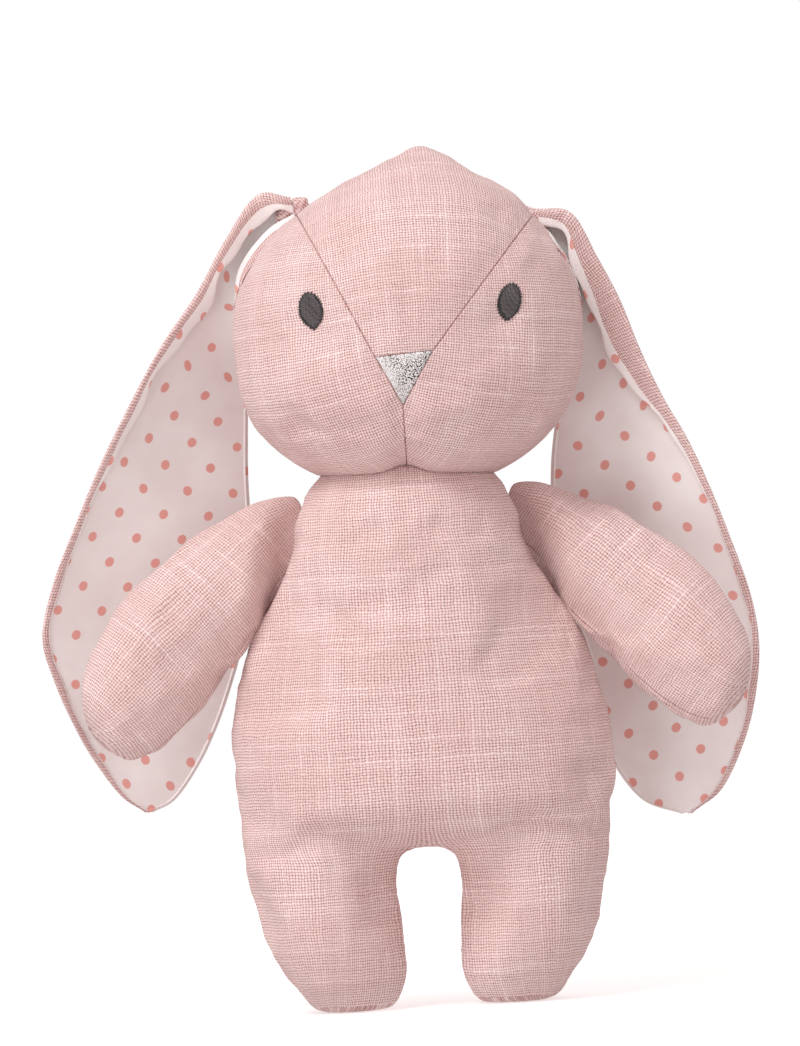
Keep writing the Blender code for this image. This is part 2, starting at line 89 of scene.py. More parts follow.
NECK = joint_place("head_nod")
NECK_CENTRE = np.array(NECK)
HIP = joint_place("left_leg_swing")
ARM_PIVOT = joint_place("left_arm_raise")
ARM_SEAM_MIDDLE = joint_place("left_arm_swing")
EAR_SWING = {side: joint_place(f"{side}_ear_swing") for side in SIDES}
EAR_LIFT = {side: joint_place(f"{side}_ear_lift") for side in SIDES}
HEAD_LOW, HEAD_HIGH = box_of("left_cheek", "right_cheek", "forehead_gusset")
TRUNK_LOW, TRUNK_HIGH = box_of("trunk_front")
NOSE_LOW, NOSE_HIGH = box_of("nose_patch")
SEAM_Y = box_of("left_head_back")[0][1]  # the side seam of the head
HEAD_TOP, TRUNK_TOP = HEAD_HIGH[2], TRUNK_HIGH[2]
HEAD_BOTTOM = NECK.z + 20
HEAD_HALF_WIDTH = (HEAD_HIGH[0] - HEAD_LOW[0]) / 2
TRUNK_HALF_WIDTH = (TRUNK_HIGH[0] - TRUNK_LOW[0]) / 2
NECK_BALL = 36.1  # the trunk's round top, on which the head turns
NECK_CLEARANCE = 0.3

# Heights are shares of the form's own height. The rest is in half widths of the CAD form
HEAD_ROWS = (
    (0.00, 0.064, 1.100, 1.100, 1.100),
    (0.10, 0.064, 1.100, 1.081, 1.062),
    (0.21, 0.062, 1.054, 0.965, 0.907),
    (0.45, 0.074, 0.988, 0.865, 0.830),
    (0.72, 0.090, 0.922, 0.840, 0.801),
    (0.86, 0.135, 0.807, 0.792, 0.753),
    (1.00, 0.193, 0.425, 0.425, 0.425),
)
TRUNK_BOTTOM = HIP.z - 4.5
TRUNK_ROWS = (
    (0.00, 0.020, 1.900, 1.100, 1.100),
    (0.10, 0.020, 1.670, 0.957, 0.945),
    (0.17, 0.018, 1.330, 0.781, 0.770),
    (0.29, 0.006, 1.092, 0.640, 0.625),
    (0.52, 0.0, 0.857, 0.560, 0.525),
    (0.64, 0.0, 0.758, 0.575, 0.545),
    (0.71, 0.0, 0.724, 0.617, 0.590),
    (0.79, 0.0, 0.762, 0.696, 0.690),
    (0.87, 0.0, 0.797, 0.794, 0.794),
    (1.00, 0.0, 0.842, 0.842, 0.842),
)
# Leg: heights in millimetres from the floor, then centre, half width and half depth, as
# shares of the hip's distance from the middle
LEG_SPAN = (-3, 72)
LEG_ROWS = (
    (-3, 0.752, 0.806, 0.935, 0.935),
    (7.6, 0.790, 0.723, 0.839, 0.839),
    (19, 0.897, 0.678, 0.768, 0.768),
    (31, 0.968, 0.652, 0.732, 0.732),
    (43, 1.000, 0.713, 0.729, 0.729),
    (52, 1.000, 0.760, 0.735, 0.735),
    (72, 1.000, 0.890, 0.860, 0.860),
)
LEG_SPLIT = HIP.z - 5.5  # below the crotch, where the trunk's skin hands over to the legs'

# Arm, on the left side: share of the way round from root to hand, upper edge (x, z), lower
# edge (x, z), half thickness, and how far its middle stands forward
ARM_ROWS = (
    (0.00, 28.0, 138.0, 28.0, 138.0, 0.0, 0.0),
    (0.10, 30.5, 149.0, 33.5, 127.0, 1.6, 0.0),
    (0.20, 33.8, 151.4, 40.8, 120.0, 3.4, 0.5),
    (0.32, 44.0, 149.8, 46.5, 110.8, 10.8, 3.0),
    (0.45, 57.0, 144.0, 54.5, 100.8, 13.2, 5.0),
    (0.58, 71.0, 134.0, 62.5, 91.2, 13.8, 7.5),
    (0.70, 83.5, 124.0, 70.0, 84.0, 13.8, 10.0),
    (0.82, 93.0, 110.5, 78.5, 78.4, 11.5, 12.5),
    (0.92, 97.6, 97.5, 86.0, 77.6, 7.2, 14.5),
    (1.00, 95.0, 85.0, 95.0, 85.0, 0.0, 15.0),
)

# Ears, from the pinched base to the tip: outer edge (x, z), inner edge (x, z), then the
# width of the linen band that rolls forward along the outer edge, and along the inner edge
EAR_ROWS = {
    "left": (
        (43.5, 231.0, 40.5, 225.5, 2.6, 2.0),
        (53.8, 229.0, 46.5, 218.5, 5.0, 2.5),
        (60.5, 216.0, 49.0, 208.0, 7.2, 2.0),
        (66.6, 202.5, 50.0, 195.0, 9.2, 1.0),
        (71.5, 188.0, 49.0, 181.0, 7.6, 0.0),
        (77.2, 174.0, 46.0, 168.0, 5.2, 0.0),
        (84.2, 160.0, 44.0, 155.0, 3.0, 0.0),
        (89.7, 146.0, 43.5, 141.0, 2.3, 0.0),
        (94.7, 131.0, 45.0, 127.0, 2.3, 0.0),
        (99.6, 114.0, 48.5, 110.0, 2.3, 0.0),
        (101.2, 100.0, 52.0, 97.0, 2.3, 0.0),
        (99.6, 86.0, 53.6, 83.0, 2.3, 0.0),
        (95.6, 72.0, 56.0, 69.0, 2.3, 0.0),
        (88.0, 57.5, 64.5, 55.8, 2.0, 0.0),
        (78.6, 50.8, 76.0, 50.8, 1.0, 0.0),
    ),
    "right": (
        (-28.0, 238.8, -26.5, 230.0, 3.0, 2.5),
        (-37.8, 239.8, -34.8, 224.4, 4.6, 3.8),
        (-48.0, 227.0, -42.8, 214.3, 3.4, 3.2),
        (-57.2, 212.3, -44.2, 202.0, 2.7, 0.8),
        (-68.5, 197.5, -44.2, 188.0, 2.5, 0.0),
        (-78.2, 182.0, -45.2, 175.0, 2.4, 0.0),
        (-88.2, 164.5, -46.2, 159.0, 2.4, 0.0),
        (-96.8, 147.0, -46.5, 142.0, 2.4, 0.0),
        (-104.4, 130.0, -48.0, 125.0, 2.4, 0.0),
        (-108.6, 114.5, -51.0, 109.0, 2.4, 0.0),
        (-106.2, 102.0, -55.0, 97.0, 2.4, 0.0),
        (-101.8, 89.5, -60.0, 85.0, 2.4, 0.0),
        (-96.5, 78.0, -66.0, 74.0, 2.4, 0.0),
        (-89.0, 66.4, -73.5, 64.4, 2.0, 0.0),
        (-82.0, 61.0, -80.4, 61.0, 1.0, 0.0),
    ),
}


# ---- numbers ----


def through(rows, x, column):
    """The value in a column of the rows at each x, on a smooth curve through the rows."""
    stations = np.array([row[0] for row in rows], float)
    values = np.array([row[column] for row in rows], float)
    slopes = np.gradient(values, stations)
    i = np.clip(np.searchsorted(stations, x) - 1, 0, len(stations) - 2)
    span = stations[i + 1] - stations[i]
    t = np.clip((x - stations[i]) / span, 0, 1)
    start = (1 + 2 * t) * (1 - t) ** 2 * values[i] + t * (1 - t) ** 2 * span * slopes[i]
    end = t * t * (3 - 2 * t) * values[i + 1] + t * t * (t - 1) * span * slopes[i + 1]
    return start + end


def ease(low, high, x):
    """From 0 at low to 1 at high, smoothly."""
    t = np.clip((x - low) / (high - low), 0, 1)
    return t * t * (3 - 2 * t)


def hill(distance, width):
    return np.exp(-((distance / width) ** 2))


def unit(vector):
    return vector / np.linalg.norm(vector)


# ---- meshes ----


def points_of(form):
    return np.array([vert.co for vert in form.verts]) / MM


def set_points(form, points):
    for vert, point in zip(form.verts, points * MM):
        vert.co = point


def ball(cuts):
    """A ball of evenly spread quads, with unit radius."""
    form = bmesh.new()
    bmesh.ops.create_cube(form, size=2)
    bmesh.ops.subdivide_edges(form, edges=form.edges[:], cuts=cuts, use_grid_fill=True)
    for vert in form.verts:
        vert.co = Vector([math.tan(value * math.pi / 4) for value in vert.co]).normalized()
    return form


def placed_ball(cuts, place):
    """A ball whose unit points are moved to place(points), in millimetres."""
    form = ball(cuts)
    set_points(form, place(np.array([vert.co for vert in form.verts])))
    return form


def new_object(name, form):
    """An object from a bmesh, which this frees."""
    mesh = bpy.data.meshes.new(name)
    form.to_mesh(mesh)
    form.free()
    mesh.shade_smooth()
    obj = bpy.data.objects.new(name, mesh)
    bpy.context.scene.collection.objects.link(obj)
    return obj


def evaluated(obj):
    """A bmesh of the object with its modifiers, and the object is removed."""
    bpy.context.view_layer.update()
    graph = bpy.context.evaluated_depsgraph_get()
    form = bmesh.new()
    form.from_object(obj, graph)
    bpy.data.objects.remove(obj, do_unlink=True)
    return form


def subdivided(form, levels):
    obj = new_object("subdivided", form.copy())
    subdivision = obj.modifiers.new("Subdivision", "SUBSURF")
    subdivision.levels = levels
    return evaluated(obj)


def neighbours(form):
    """Both ends of every edge, and how many edges each vertex has."""
    ends = np.array([[vert.index for vert in edge.verts] for edge in form.edges])
    counts = np.bincount(ends.ravel(), minlength=len(form.verts))
    return ends, counts


def relax(form, rounds, weight=1.0):
    """Evens a form out by moving each point towards the middle of its neighbours."""
    form.verts.index_update()
    ends, counts = neighbours(form)
    points = points_of(form)
    share = 0.5 * np.broadcast_to(weight, len(points))[:, None]
    for _ in range(rounds):
        total = np.zeros_like(points)
        np.add.at(total, ends[:, 0], points[ends[:, 1]])
        np.add.at(total, ends[:, 1], points[ends[:, 0]])
        points += share * (total / counts[:, None] - points)
    set_points(form, points)


def tube_faces(form, rings):
    """Joins rings of vertices into a closed tube."""
    for ring, beyond in zip(rings, rings[1:]):
        for a, b, c, d in zip(ring, ring[1:] + ring[:1], beyond[1:] + beyond[:1], beyond):
            form.faces.new((a, b, c, d))
    form.faces.new(rings[0][::-1])
    form.faces.new(rings[-1])


def normals_of(form):
    form.normal_update()
    return np.array([vert.normal for vert in form.verts])


# ---- stuffing: cloth that swells against its seams ----

SWELL_FRAMES = 20
SWELL_CLOTH = {
    "quality": 5,
    "mass": 0.15,
    "tension_stiffness": 30,
    "compression_stiffness": 20,
    "shear_stiffness": 10,
    "bending_stiffness": 0.6,
    "use_pressure": True,
    "uniform_pressure_force": 4.0,
    "shrink_min": -0.03,  # a little more cloth than form, so that it puckers at a seam
    "vertex_group_mass": "held",
}


def swell(forms):
    """Blows up closed forms as cloth. Each comes as (form, held share of each point, cap).

    A point that is held wholly is in a seam and stays. The rest moves at most by the cap.
    """
    scene = bpy.context.scene
    skins = []
    for form, held, _ in forms:
        skin = new_object("swelling", form.copy())
        group = skin.vertex_groups.new(name="held")
        for index, share in enumerate(held):
            group.add([index], float(share), "REPLACE")
        cloth = skin.modifiers.new("Stuffing", "CLOTH")
        for name, value in SWELL_CLOTH.items():
            setattr(cloth.settings, name, value)
        cloth.settings.effector_weights.gravity = 0
        cloth.collision_settings.use_collision = False
        cloth.point_cache.frame_end = SWELL_FRAMES
        skins.append(skin)
    for number in range(1, SWELL_FRAMES + 1):
        scene.frame_set(number)
    for (form, _, cap), skin in zip(forms, skins):
        start = points_of(form)
        swollen = evaluated(skin)
        step = points_of(swollen) - start
        swollen.free()
        length = np.maximum(np.linalg.norm(step, axis=1), 1e-9)
        set_points(form, start + step * (cap * np.tanh(length / cap) / length)[:, None])
    scene.frame_set(1)


# ---- panels: cutting, rolled edges, flat patterns ----

ROLL = 0.7  # how far a panel's edge rolls in at a seam
ROLL_LINES = (0.16, 0.4, 0.72, 1.7)  # cuts on both sides of a seam, so that its edge can bend
CUT_MARGIN = 8
PUCKER = 0.32
PUCKER_REACH = 2.6
CLOTH = 0.5
RIM_ANGLE = math.radians(60)
NO_SEAM = 9.0  # the seam distance given to cloth that lies in none
SHORTEST_EDGE = 0.12


class Seam:
    """A plane through a place, with a normal, where cloth is cut. Both are in millimetres."""

    def __init__(self, place, normal):
        self.place, self.normal = np.array(place, float), unit(np.array(normal, float))

    def off(self, points):
        return (points - self.place) @ self.normal


def upright_seam(start, end):
    """A seam through two (x, z) places that runs straight back. Its normal is to the left."""
    return Seam((start[0], 0, start[1]), (end[1] - start[1], 0, start[0] - end[0]))


def faces_inside(form, belongs):
    middles = np.array([face.calc_center_median() for face in form.faces]) / MM
    return belongs(middles)


def keep_faces(form, kept):
    outside = [face for face, keep in zip(form.faces, kept) if not keep]
    bmesh.ops.delete(form, geom=outside, context="FACES")


def slice_form(form, seam, shift=0.0):
    everything = form.verts[:] + form.edges[:] + form.faces[:]
    line = Vector((seam.place + seam.normal * shift) * MM)
    bmesh.ops.bisect_plane(form, geom=everything, plane_co=line, plane_no=Vector(seam.normal))


def cut_panel(skin, seams, belongs, splits=()):
    """The part of a skin that belongs to a panel. Splits are cut too, but never roll in."""
    form = skin.copy()
    keep_faces(form, faces_inside(form, lambda middles: belongs(middles, CUT_MARGIN)))
    for seam in (*seams, *splits):
        slice_form(form, seam)
    keep_faces(form, faces_inside(form, lambda middles: belongs(middles, 0)))
    for seam in seams:
        for line in ROLL_LINES:
            for side in (-line, line):
                slice_form(form, seam, side)
    bmesh.ops.remove_doubles(form, verts=form.verts, dist=SHORTEST_EDGE * MM)
    return form


def seam_chains(form, is_seam):
    """The panel's edge as chains of points in order, without the stretches that aren't seams."""
    rim = {}
    for edge in form.edges:
        if not edge.is_boundary:
            continue
        a, b = edge.verts
        middle = (a.co + b.co) / 2 / MM
        if is_seam(middle):
            rim.setdefault(a, []).append(b)
            rim.setdefault(b, []).append(a)
    chains = []
    left = set(rim)
    while left:
        start = next((vert for vert in form.verts if vert in left and len(rim[vert]) == 1), None)
        start = start or next(vert for vert in form.verts if vert in left)
        chain = [start]
        left.discard(start)
        while True:
            onward = [vert for vert in rim[chain[-1]] if vert in left]
            if not onward:
                break
            chain.append(onward[0])
            left.discard(onward[0])
        if len(chain) > 2 and chain[0] in rim[chain[-1]]:
            chain.append(chain[0])
        chains.append(np.array([vert.co for vert in chain]) / MM)
    return [chain for chain in chains if len(chain) > 1]


def seam_distance(points, chains):
    """How far each point is from the nearest seam, and how far along that seam it lies."""
    starts = np.concatenate([chain[:-1] for chain in chains])
    ends = np.concatenate([chain[1:] for chain in chains])
    lengths = np.linalg.norm(ends - starts, axis=1)
    run = np.cumsum(lengths) - lengths
    tree = KDTree(len(starts))
    for index, middle in enumerate((starts + ends) / 2):
        tree.insert(middle, index)
    tree.balance()
    nearest = np.array([[index for _, index, _ in tree.find_n(p, 3)] for p in points])
    best = np.full(len(points), np.inf)
    along = np.zeros(len(points))
    for column in range(nearest.shape[1]):
        index = nearest[:, column]
        span = ends[index] - starts[index]
        t = np.einsum("ij,ij->i", points - starts[index], span)
        t = np.clip(t / np.maximum(lengths[index] ** 2, 1e-9), 0, 1)
        gap = np.linalg.norm(points - starts[index] - span * t[:, None], axis=1)
        closer = gap < best
        best = np.where(closer, gap, best)
        along = np.where(closer, run[index] + t * lengths[index], along)
    return best, along


def puckers(along):
    """Uneven gathers along a seam, from 0 to 1, with the stitch length as their finest wave."""
    waves = ((2.7, 0.0, 0.35), (4.3, 1.3, 0.35), (7.9, 4.1, 0.30))
    total = sum(share * np.sin(2 * math.pi * along / step + turn) for step, turn, share in waves)
    return 0.5 + 0.5 * total


def roll_edges(form, is_seam, roll=ROLL, pucker=PUCKER):
    """Rolls a panel's edges in, with puckers, and returns each point's distance to a seam."""
    form.verts.index_update()
    points = points_of(form)
    gap, along = seam_distance(points, seam_chains(form, is_seam))
    normals = normals_of(form)
    inner = np.clip(roll - gap, 0, roll)
    inset = roll - np.sqrt(np.maximum(roll**2 - inner**2, 0))
    inset += pucker * puckers(along) * hill(gap - 0.8, PUCKER_REACH) * ease(0, 0.8, gap)
    set_points(form, points - normals * inset[:, None])
    return gap


def add_pattern(obj, flat):
    """Gives a mesh its flat pattern, in metres, from a (u, v) for each vertex."""
    layer = obj.data.uv_layers.new(name=PATTERN)
    corners = np.zeros(len(obj.data.loops), np.int32)
    obj.data.loops.foreach_get("vertex_index", corners)
    layer.data.foreach_set("uv", (flat[corners] * MM).astype(np.float32).ravel())


def add_value(obj, name, values):
    attribute = obj.data.attributes.new(name, "FLOAT", "POINT")
    attribute.data.foreach_set("value", values.astype(np.float32))


def anywhere(_):
    return True


def make_panel(name, form, flat, material, is_seam=anywhere, roll=ROLL, pucker=PUCKER):
    """Finishes a cut panel: its pattern, rolled edges, cloth thickness and material."""
    pattern = flat(points_of(form))
    gap = roll_edges(form, is_seam, roll, pucker)
    obj = new_object(name, form)
    add_pattern(obj, pattern)
    add_value(obj, "seam_distance", gap)
    as_cloth(obj, CLOTH, material)
    return obj


def as_cloth(obj, thickness, material):
    """Gives a surface a thickness, with cut rims that aren't shaded round, and a material."""
    shell = obj.modifiers.new("Cloth", "SOLIDIFY")
    shell.thickness = thickness * MM
    shell.offset = -1
    split = obj.modifiers.new("Rim", "EDGE_SPLIT")
    split.split_angle = RIM_ANGLE
    obj.data.materials.append(material)


def round_pattern(centre, facing, turn=0.0):
    """A flat pattern spread from one place on a round form, true to length along each ray."""
    facing = unit(np.array(facing, float))
    up = unit(np.array((0, 0, 1.0)) - facing * facing[2])
    right = np.cross(up, facing)
    c, s = math.cos(turn), math.sin(turn)
    right, up = c * right + s * up, c * up - s * right

    def flat(points):
        reach = points - centre
        length = np.linalg.norm(reach, axis=1)
        ray = reach / length[:, None]
        across, rise, ahead = ray @ right, ray @ up, ray @ facing
        angle = np.arccos(np.clip(ahead, -1, 1))
        level = np.maximum(np.hypot(across, rise), 1e-6)
        spread = angle / level * np.median(length)
        return np.stack([across * spread, rise * spread], axis=1)

    return flat


# ---- materials ----

LINEN_PITCH = 0.00085
COTTON_PITCH = 0.00030
LAME_PITCH = 0.00080
WANDER_SCALE = 70.0  # how soon a thread's wandering changes
SLUB_STRETCH = 0.045  # how long a thick stretch of thread is, the smaller the longer
FAR_EVEN = 100000.0  # an even number that makes the threads' numbers positive
MIDDLE = (0.5, 0.5, 0.5)
DOT_STEP, DOT_RADIUS = 0.0147, 0.00146


class Shade:
    """One material's nodes, built so that a step of arithmetic takes one line."""

    def __init__(self, name, roughness, sheen=0.0, metallic=0.0):
        self.material = bpy.data.materials.new(name)
        self.material.use_nodes = True
        self.tree = self.material.node_tree
        self.shader = self.tree.nodes["Principled BSDF"]
        finish = {"Roughness": roughness, "Metallic": metallic, "IOR": 1.4}
        self.feed(self.shader, {**finish, "Sheen Weight": sheen, "Sheen Roughness": 0.6})

    def feed(self, node, values):
        """Sets or links a node's inputs, which go by their names or places."""
        for key, value in values.items():
            if isinstance(value, bpy.types.NodeSocket):
                self.tree.links.new(value, node.inputs[key])
            else:
                node.inputs[key].default_value = value

    def node(self, kind, values, **settings):
        """Adds a node and returns its outputs."""
        node = self.tree.nodes.new("ShaderNode" + kind)
        for name, value in settings.items():
            setattr(node, name, value)
        self.feed(node, values)
        return node.outputs

    def calc(self, operation, *values):
        return self.node("Math", dict(enumerate(values)), operation=operation)[0]

    def vector(self, operation, *values):
        return self.node("VectorMath", dict(enumerate(values)), operation=operation)[0]

    def parts(self, vector):
        outputs = self.node("SeparateXYZ", {0: vector})
        return outputs[0], outputs[1]

    def pair(self, x, y):
        return self.node("CombineXYZ", {0: x, 1: y})[0]

    def noise(self, vector, scale, detail=1.0, output="Fac"):
        values = {"Vector": vector, "Scale": scale, "Detail": detail}
        return self.node("TexNoise", values)[output]

    def drift(self, vector, scale, reach):
        """A smooth random shift, by at most half the reach each way."""
        shift = self.vector("SUBTRACT", self.noise(vector, scale, output="Color"), MIDDLE)
        return self.vector("MULTIPLY", shift, (reach,) * 3)

    def random(self, value):
        return self.node("TexWhiteNoise", {"W": value}, noise_dimensions="1D")["Value"]

    def step(self, value, low, high, new_low=0.0, new_high=1.0):
        """From one value at low to another at high, smoothly."""
        values = {"Value": value, "From Min": low, "From Max": high}
        values.update({"To Min": new_low, "To Max": new_high})
        return self.node("MapRange", values, interpolation_type="SMOOTHSTEP")[0]

    def mix(self, share, a, b):
        a, b = ((*colour, 1) if isinstance(colour, tuple) else colour for colour in (a, b))
        return self.node("Mix", {0: share, 6: a, 7: b}, data_type="RGBA")[2]

    def pattern(self):
        return self.node("UVMap", {}, uv_map=PATTERN)[0]

    def value(self, name):
        return self.node("Attribute", {}, attribute_name=name)["Fac"]

    def finish(self, colour, height, depth, strength):
        """Puts the colour and the bump on the shader."""
        values = {"Distance": depth, "Strength": strength, "Height": height}
        bump = self.node("Bump", values)[0]
        self.feed(self.shader, {"Normal": bump, "Base Color": colour})
        return self.material


def srgb(red, green, blue):
    """A colour on the 0 to 255 scale as linear light."""

    def linear(value):
        value /= 255
        return value / 12.92 if value <= 0.04045 else ((value + 0.055) / 1.055) ** 2.4

    return linear(red), linear(green), linear(blue)


def woven(shade, pattern, pitch, looseness=0.47, wobble=0.6):
    """Plain weave. Returns its height, and the lightness of the thread on top."""
    bend = shade.drift(pattern, WANDER_SCALE, 2 * wobble * pitch)
    shiver = shade.drift(pattern, 0.45 / pitch, 0.75 * pitch)
    moved = shade.vector("ADD", shade.vector("ADD", pattern, bend), shiver)
    s, t = shade.parts(shade.vector("MULTIPLY", moved, (1 / pitch,) * 3))
    heights, tones = [], []
    for cross, run, offset, sign in ((s, t, 0.0, 1.0), (t, s, 371.0, -1.0)):
        number = shade.calc("FLOOR", cross)
        place = shade.calc("SUBTRACT", shade.calc("SUBTRACT", cross, number), 0.5)
        odd = shade.calc("MODULO", shade.calc("ADD", number, FAR_EVEN), 2.0)
        parity = shade.calc("MULTIPLY_ADD", odd, -2.0 * sign, sign)
        wave = shade.calc("SINE", shade.calc("MULTIPLY", run, math.pi))
        over = shade.calc("MULTIPLY", parity, wave)
        own = shade.random(shade.calc("ADD", number, offset))
        stretch = shade.calc("MULTIPLY", run, SLUB_STRETCH)
        slub = shade.noise(shade.pair(shade.calc("MULTIPLY", number, 3.7), stretch), 1.0, 2.0)
        thick = shade.step(slub, 0.45, 0.75)
        girth = shade.calc("MULTIPLY_ADD", thick, 0.10, looseness - 0.05)
        girth = shade.calc("MULTIPLY_ADD", own, 0.05, girth)
        reach = shade.calc("DIVIDE", place, girth)
        rounded = shade.calc("SUBTRACT", 1.0, shade.calc("MULTIPLY", reach, reach))
        rounded = shade.calc("SQRT", shade.calc("MAXIMUM", rounded, 0.0))
        bright = shade.calc("MULTIPLY", shade.step(own, 0.82, 1.0), shade.step(slub, 0.42, 0.62))
        lift = shade.calc("MULTIPLY_ADD", over, 0.42, 0.58)
        lift = shade.calc("MULTIPLY_ADD", bright, 0.15, lift)
        heights.append(shade.calc("MULTIPLY", rounded, lift))
        tones.append(shade.calc("MULTIPLY_ADD", bright, 0.24, shade.calc("MULTIPLY", own, 0.50)))
    on_top = shade.calc("GREATER_THAN", *heights)
    swap = shade.calc("SUBTRACT", *tones)
    return shade.calc("MAXIMUM", *heights), shade.calc("MULTIPLY_ADD", on_top, swap, tones[1])


def linen():
    """Pink linen: loose plain weave with slubs; painted highlight on thread crests, painted shade
    between threads, seams darkened by thread and painted shade.
    """
    shade = Shade("linen", 0.88, sheen=0.15)
    pattern = shade.pattern()
    height, tone = woven(shade, pattern, LINEN_PITCH)
    fibre = shade.noise(pattern, 5200.0, 2.0)
    cloud = shade.noise(pattern, 35.0, 2.0)
    thread = shade.mix(tone, srgb(219, 181, 178), srgb(243, 215, 212))
    # The first mix lightens the threads' crests: a painted highlight. The fibre and cloud mixes
    # are the cloth's own uneven tone.
    for share, colour in (
        (shade.step(height, 0.60, 0.98, 0.0, 0.70), srgb(255, 238, 236)),
        (shade.step(fibre, 0.35, 0.75, 0.0, 0.40), srgb(251, 233, 230)),
        (shade.step(cloud, 0.35, 0.65, 0.0, 0.35), srgb(219, 183, 180)),
    ):
        thread = shade.mix(share, thread, colour)
    # Between the threads the colour goes dark: painted shade in the gaps of the weave.
    gap = shade.step(shade.noise(pattern, 900.0), 0.35, 0.65)
    hole_shade = shade.mix(gap, srgb(124, 64, 59), srgb(182, 124, 118))
    cloth = shade.mix(shade.step(height, 0.14, 0.74), hole_shade, thread)
    # Along the seams the colour darkens, partly as the sewing thread's colour in dashes and partly
    # as painted shade in the seam's crease.
    stitch = shade.step(shade.noise(pattern, 420.0), 0.35, 0.62, 0.25, 1.0)
    seam = shade.step(shade.value("seam_distance"), 0.08, 0.40, 0.5, 0.0)
    seam = shade.calc("MULTIPLY", seam, stitch)
    relief = shade.calc("MULTIPLY_ADD", fibre, 0.16, height)
    return shade.finish(shade.mix(seam, cloth, srgb(172, 112, 106)), relief, 0.00028, 0.8)


def cotton():
    """Fine off-white cotton with a printed dot, in staggered rows, and painted shade between its
    threads.
    """
    shade = Shade("dotted_cotton", 0.85, sheen=0.1)
    pattern = shade.pattern()
    height, tone = woven(shade, pattern, COTTON_PITCH, 0.50, 0.2)
    spread = shade.noise(pattern, 2500.0, 2.0)
    in_cells = shade.vector("MULTIPLY", pattern, (1 / DOT_STEP,) * 3)
    gaps = []
    for shift in (50.0, 50.5):
        cell = shade.vector("FRACTION", shade.vector("ADD", in_cells, (shift,) * 3))
        x, y = shade.parts(shade.vector("SUBTRACT", cell, MIDDLE))
        squares = (shade.calc("MULTIPLY", part, part) for part in (x, y))
        gaps.append(shade.calc("SQRT", shade.calc("ADD", *squares)))
    gap = shade.calc("MULTIPLY", shade.calc("MINIMUM", *gaps), DOT_STEP)
    gap = shade.calc("MULTIPLY_ADD", spread, 0.00035, gap)
    dot = shade.step(gap, DOT_RADIUS, DOT_RADIUS + 0.0003, 0.92, 0.0)
    cloud = shade.step(shade.noise(pattern, 60.0, 2.0), 0.3, 0.7)
    ground = shade.mix(cloud, srgb(246, 240, 239), srgb(252, 249, 248))
    ground = shade.mix(shade.calc("MULTIPLY", tone, 0.25), ground, srgb(255, 252, 250))
    printed = shade.mix(dot, ground, srgb(238, 163, 152))
    # Darker between the threads: painted shade in the gaps of the weave.
    weave = shade.mix(shade.step(height, 0.1, 0.6, 0.16, 0.0), printed, srgb(196, 170, 165))
    return shade.finish(weave, shade.calc("MULTIPLY_ADD", spread, 0.5, height), 0.00007, 0.6)


def lame():
    """Silvery lame: a fine diagonal weave of flat metal threads with dark flecks, and painted
    light.
    """
    shade = Shade("silver_lame", 0.40, metallic=0.10)
    pattern = shade.pattern()
    x, y = shade.parts(pattern)
    turned = shade.pair(shade.calc("ADD", x, y), shade.calc("SUBTRACT", x, y))
    height, tone = woven(shade, turned, LAME_PITCH, 0.46, 0.3)
    fleck = shade.noise(turned, 1500.0)
    patch = shade.step(shade.noise(pattern, 130.0), 0.34, 0.56, 0.45, 1.0)
    # Fewer dark flecks towards -x, the side the key light comes from: a painted glint on the
    # metal.
    dark = shade.calc("MULTIPLY", patch, shade.step(x, -0.0095, -0.001, 0.2, 1.0))
    dark = shade.calc("MULTIPLY", shade.step(fleck, 0.50, 0.55), dark)
    light = shade.mix(tone, srgb(236, 232, 231), srgb(255, 255, 255))
    # Darker between the threads: painted shade in the gaps of the weave.
    metal = shade.mix(shade.step(height, 0.12, 0.55), srgb(186, 180, 179), light)
    relief = shade.calc("MULTIPLY_ADD", fleck, 0.8, height)
    return shade.finish(shade.mix(dark, metal, srgb(34, 29, 29)), relief, 0.00020, 0.8)


def thread_material(name, dark, light, roughness, scale, lint_scale=3000.0):
    """Twisted thread, with its strands as fine diagonal bands of painted highlight. Rim stitches
    get less of it, so they are darker.
    """
    shade = Shade(name, roughness, sheen=0.1)
    pattern = shade.pattern()
    x, y = shade.parts(pattern)
    slant = shade.calc("ADD", x, shade.calc("MULTIPLY", y, 0.6))
    twist = shade.calc("SINE", shade.calc("MULTIPLY", slant, scale))
    lint = shade.noise(pattern, lint_scale, 2.0)
    # The light colour is the thread's painted highlight: the twist lays it on in diagonal bands,
    # and the lint adds it at random.
    tone = shade.calc("MULTIPLY_ADD", twist, 0.3, shade.step(lint, 0.3, 0.7, 0.1, 0.75))
    # Rim stitches keep only a quarter of the tone, so they show less of the painted highlight.
    tone = shade.calc("MULTIPLY", tone, shade.step(shade.value("rim"), 0, 1, 1, 0.25))
    return shade.finish(shade.mix(tone, dark, light), shade.calc("ADD", twist, lint), 0.00006, 0.6)


def fibre_fill():
    """White polyester filling: a cloudy, hairy white."""
    shade = Shade("fibre_fill", 1.0, sheen=0.3)
    place = shade.node("NewGeometry", {})["Position"]
    hair, clump = shade.noise(place, 900.0, 4.0), shade.noise(place, 140.0, 3.0)
    white = shade.mix(clump, srgb(214, 210, 203), srgb(250, 249, 246))
    return shade.finish(white, shade.calc("ADD", hair, clump), 0.0008, 0.8)


LINEN = linen()
COTTON = cotton()
LAME = lame()
# The eye thread's charcoal, and its painted highlight.
EYE_GREYS = srgb(18, 16, 18), srgb(132, 124, 126)
EYE_THREAD = thread_material("eye_thread", *EYE_GREYS, 0.5, 7000, 1300.0)
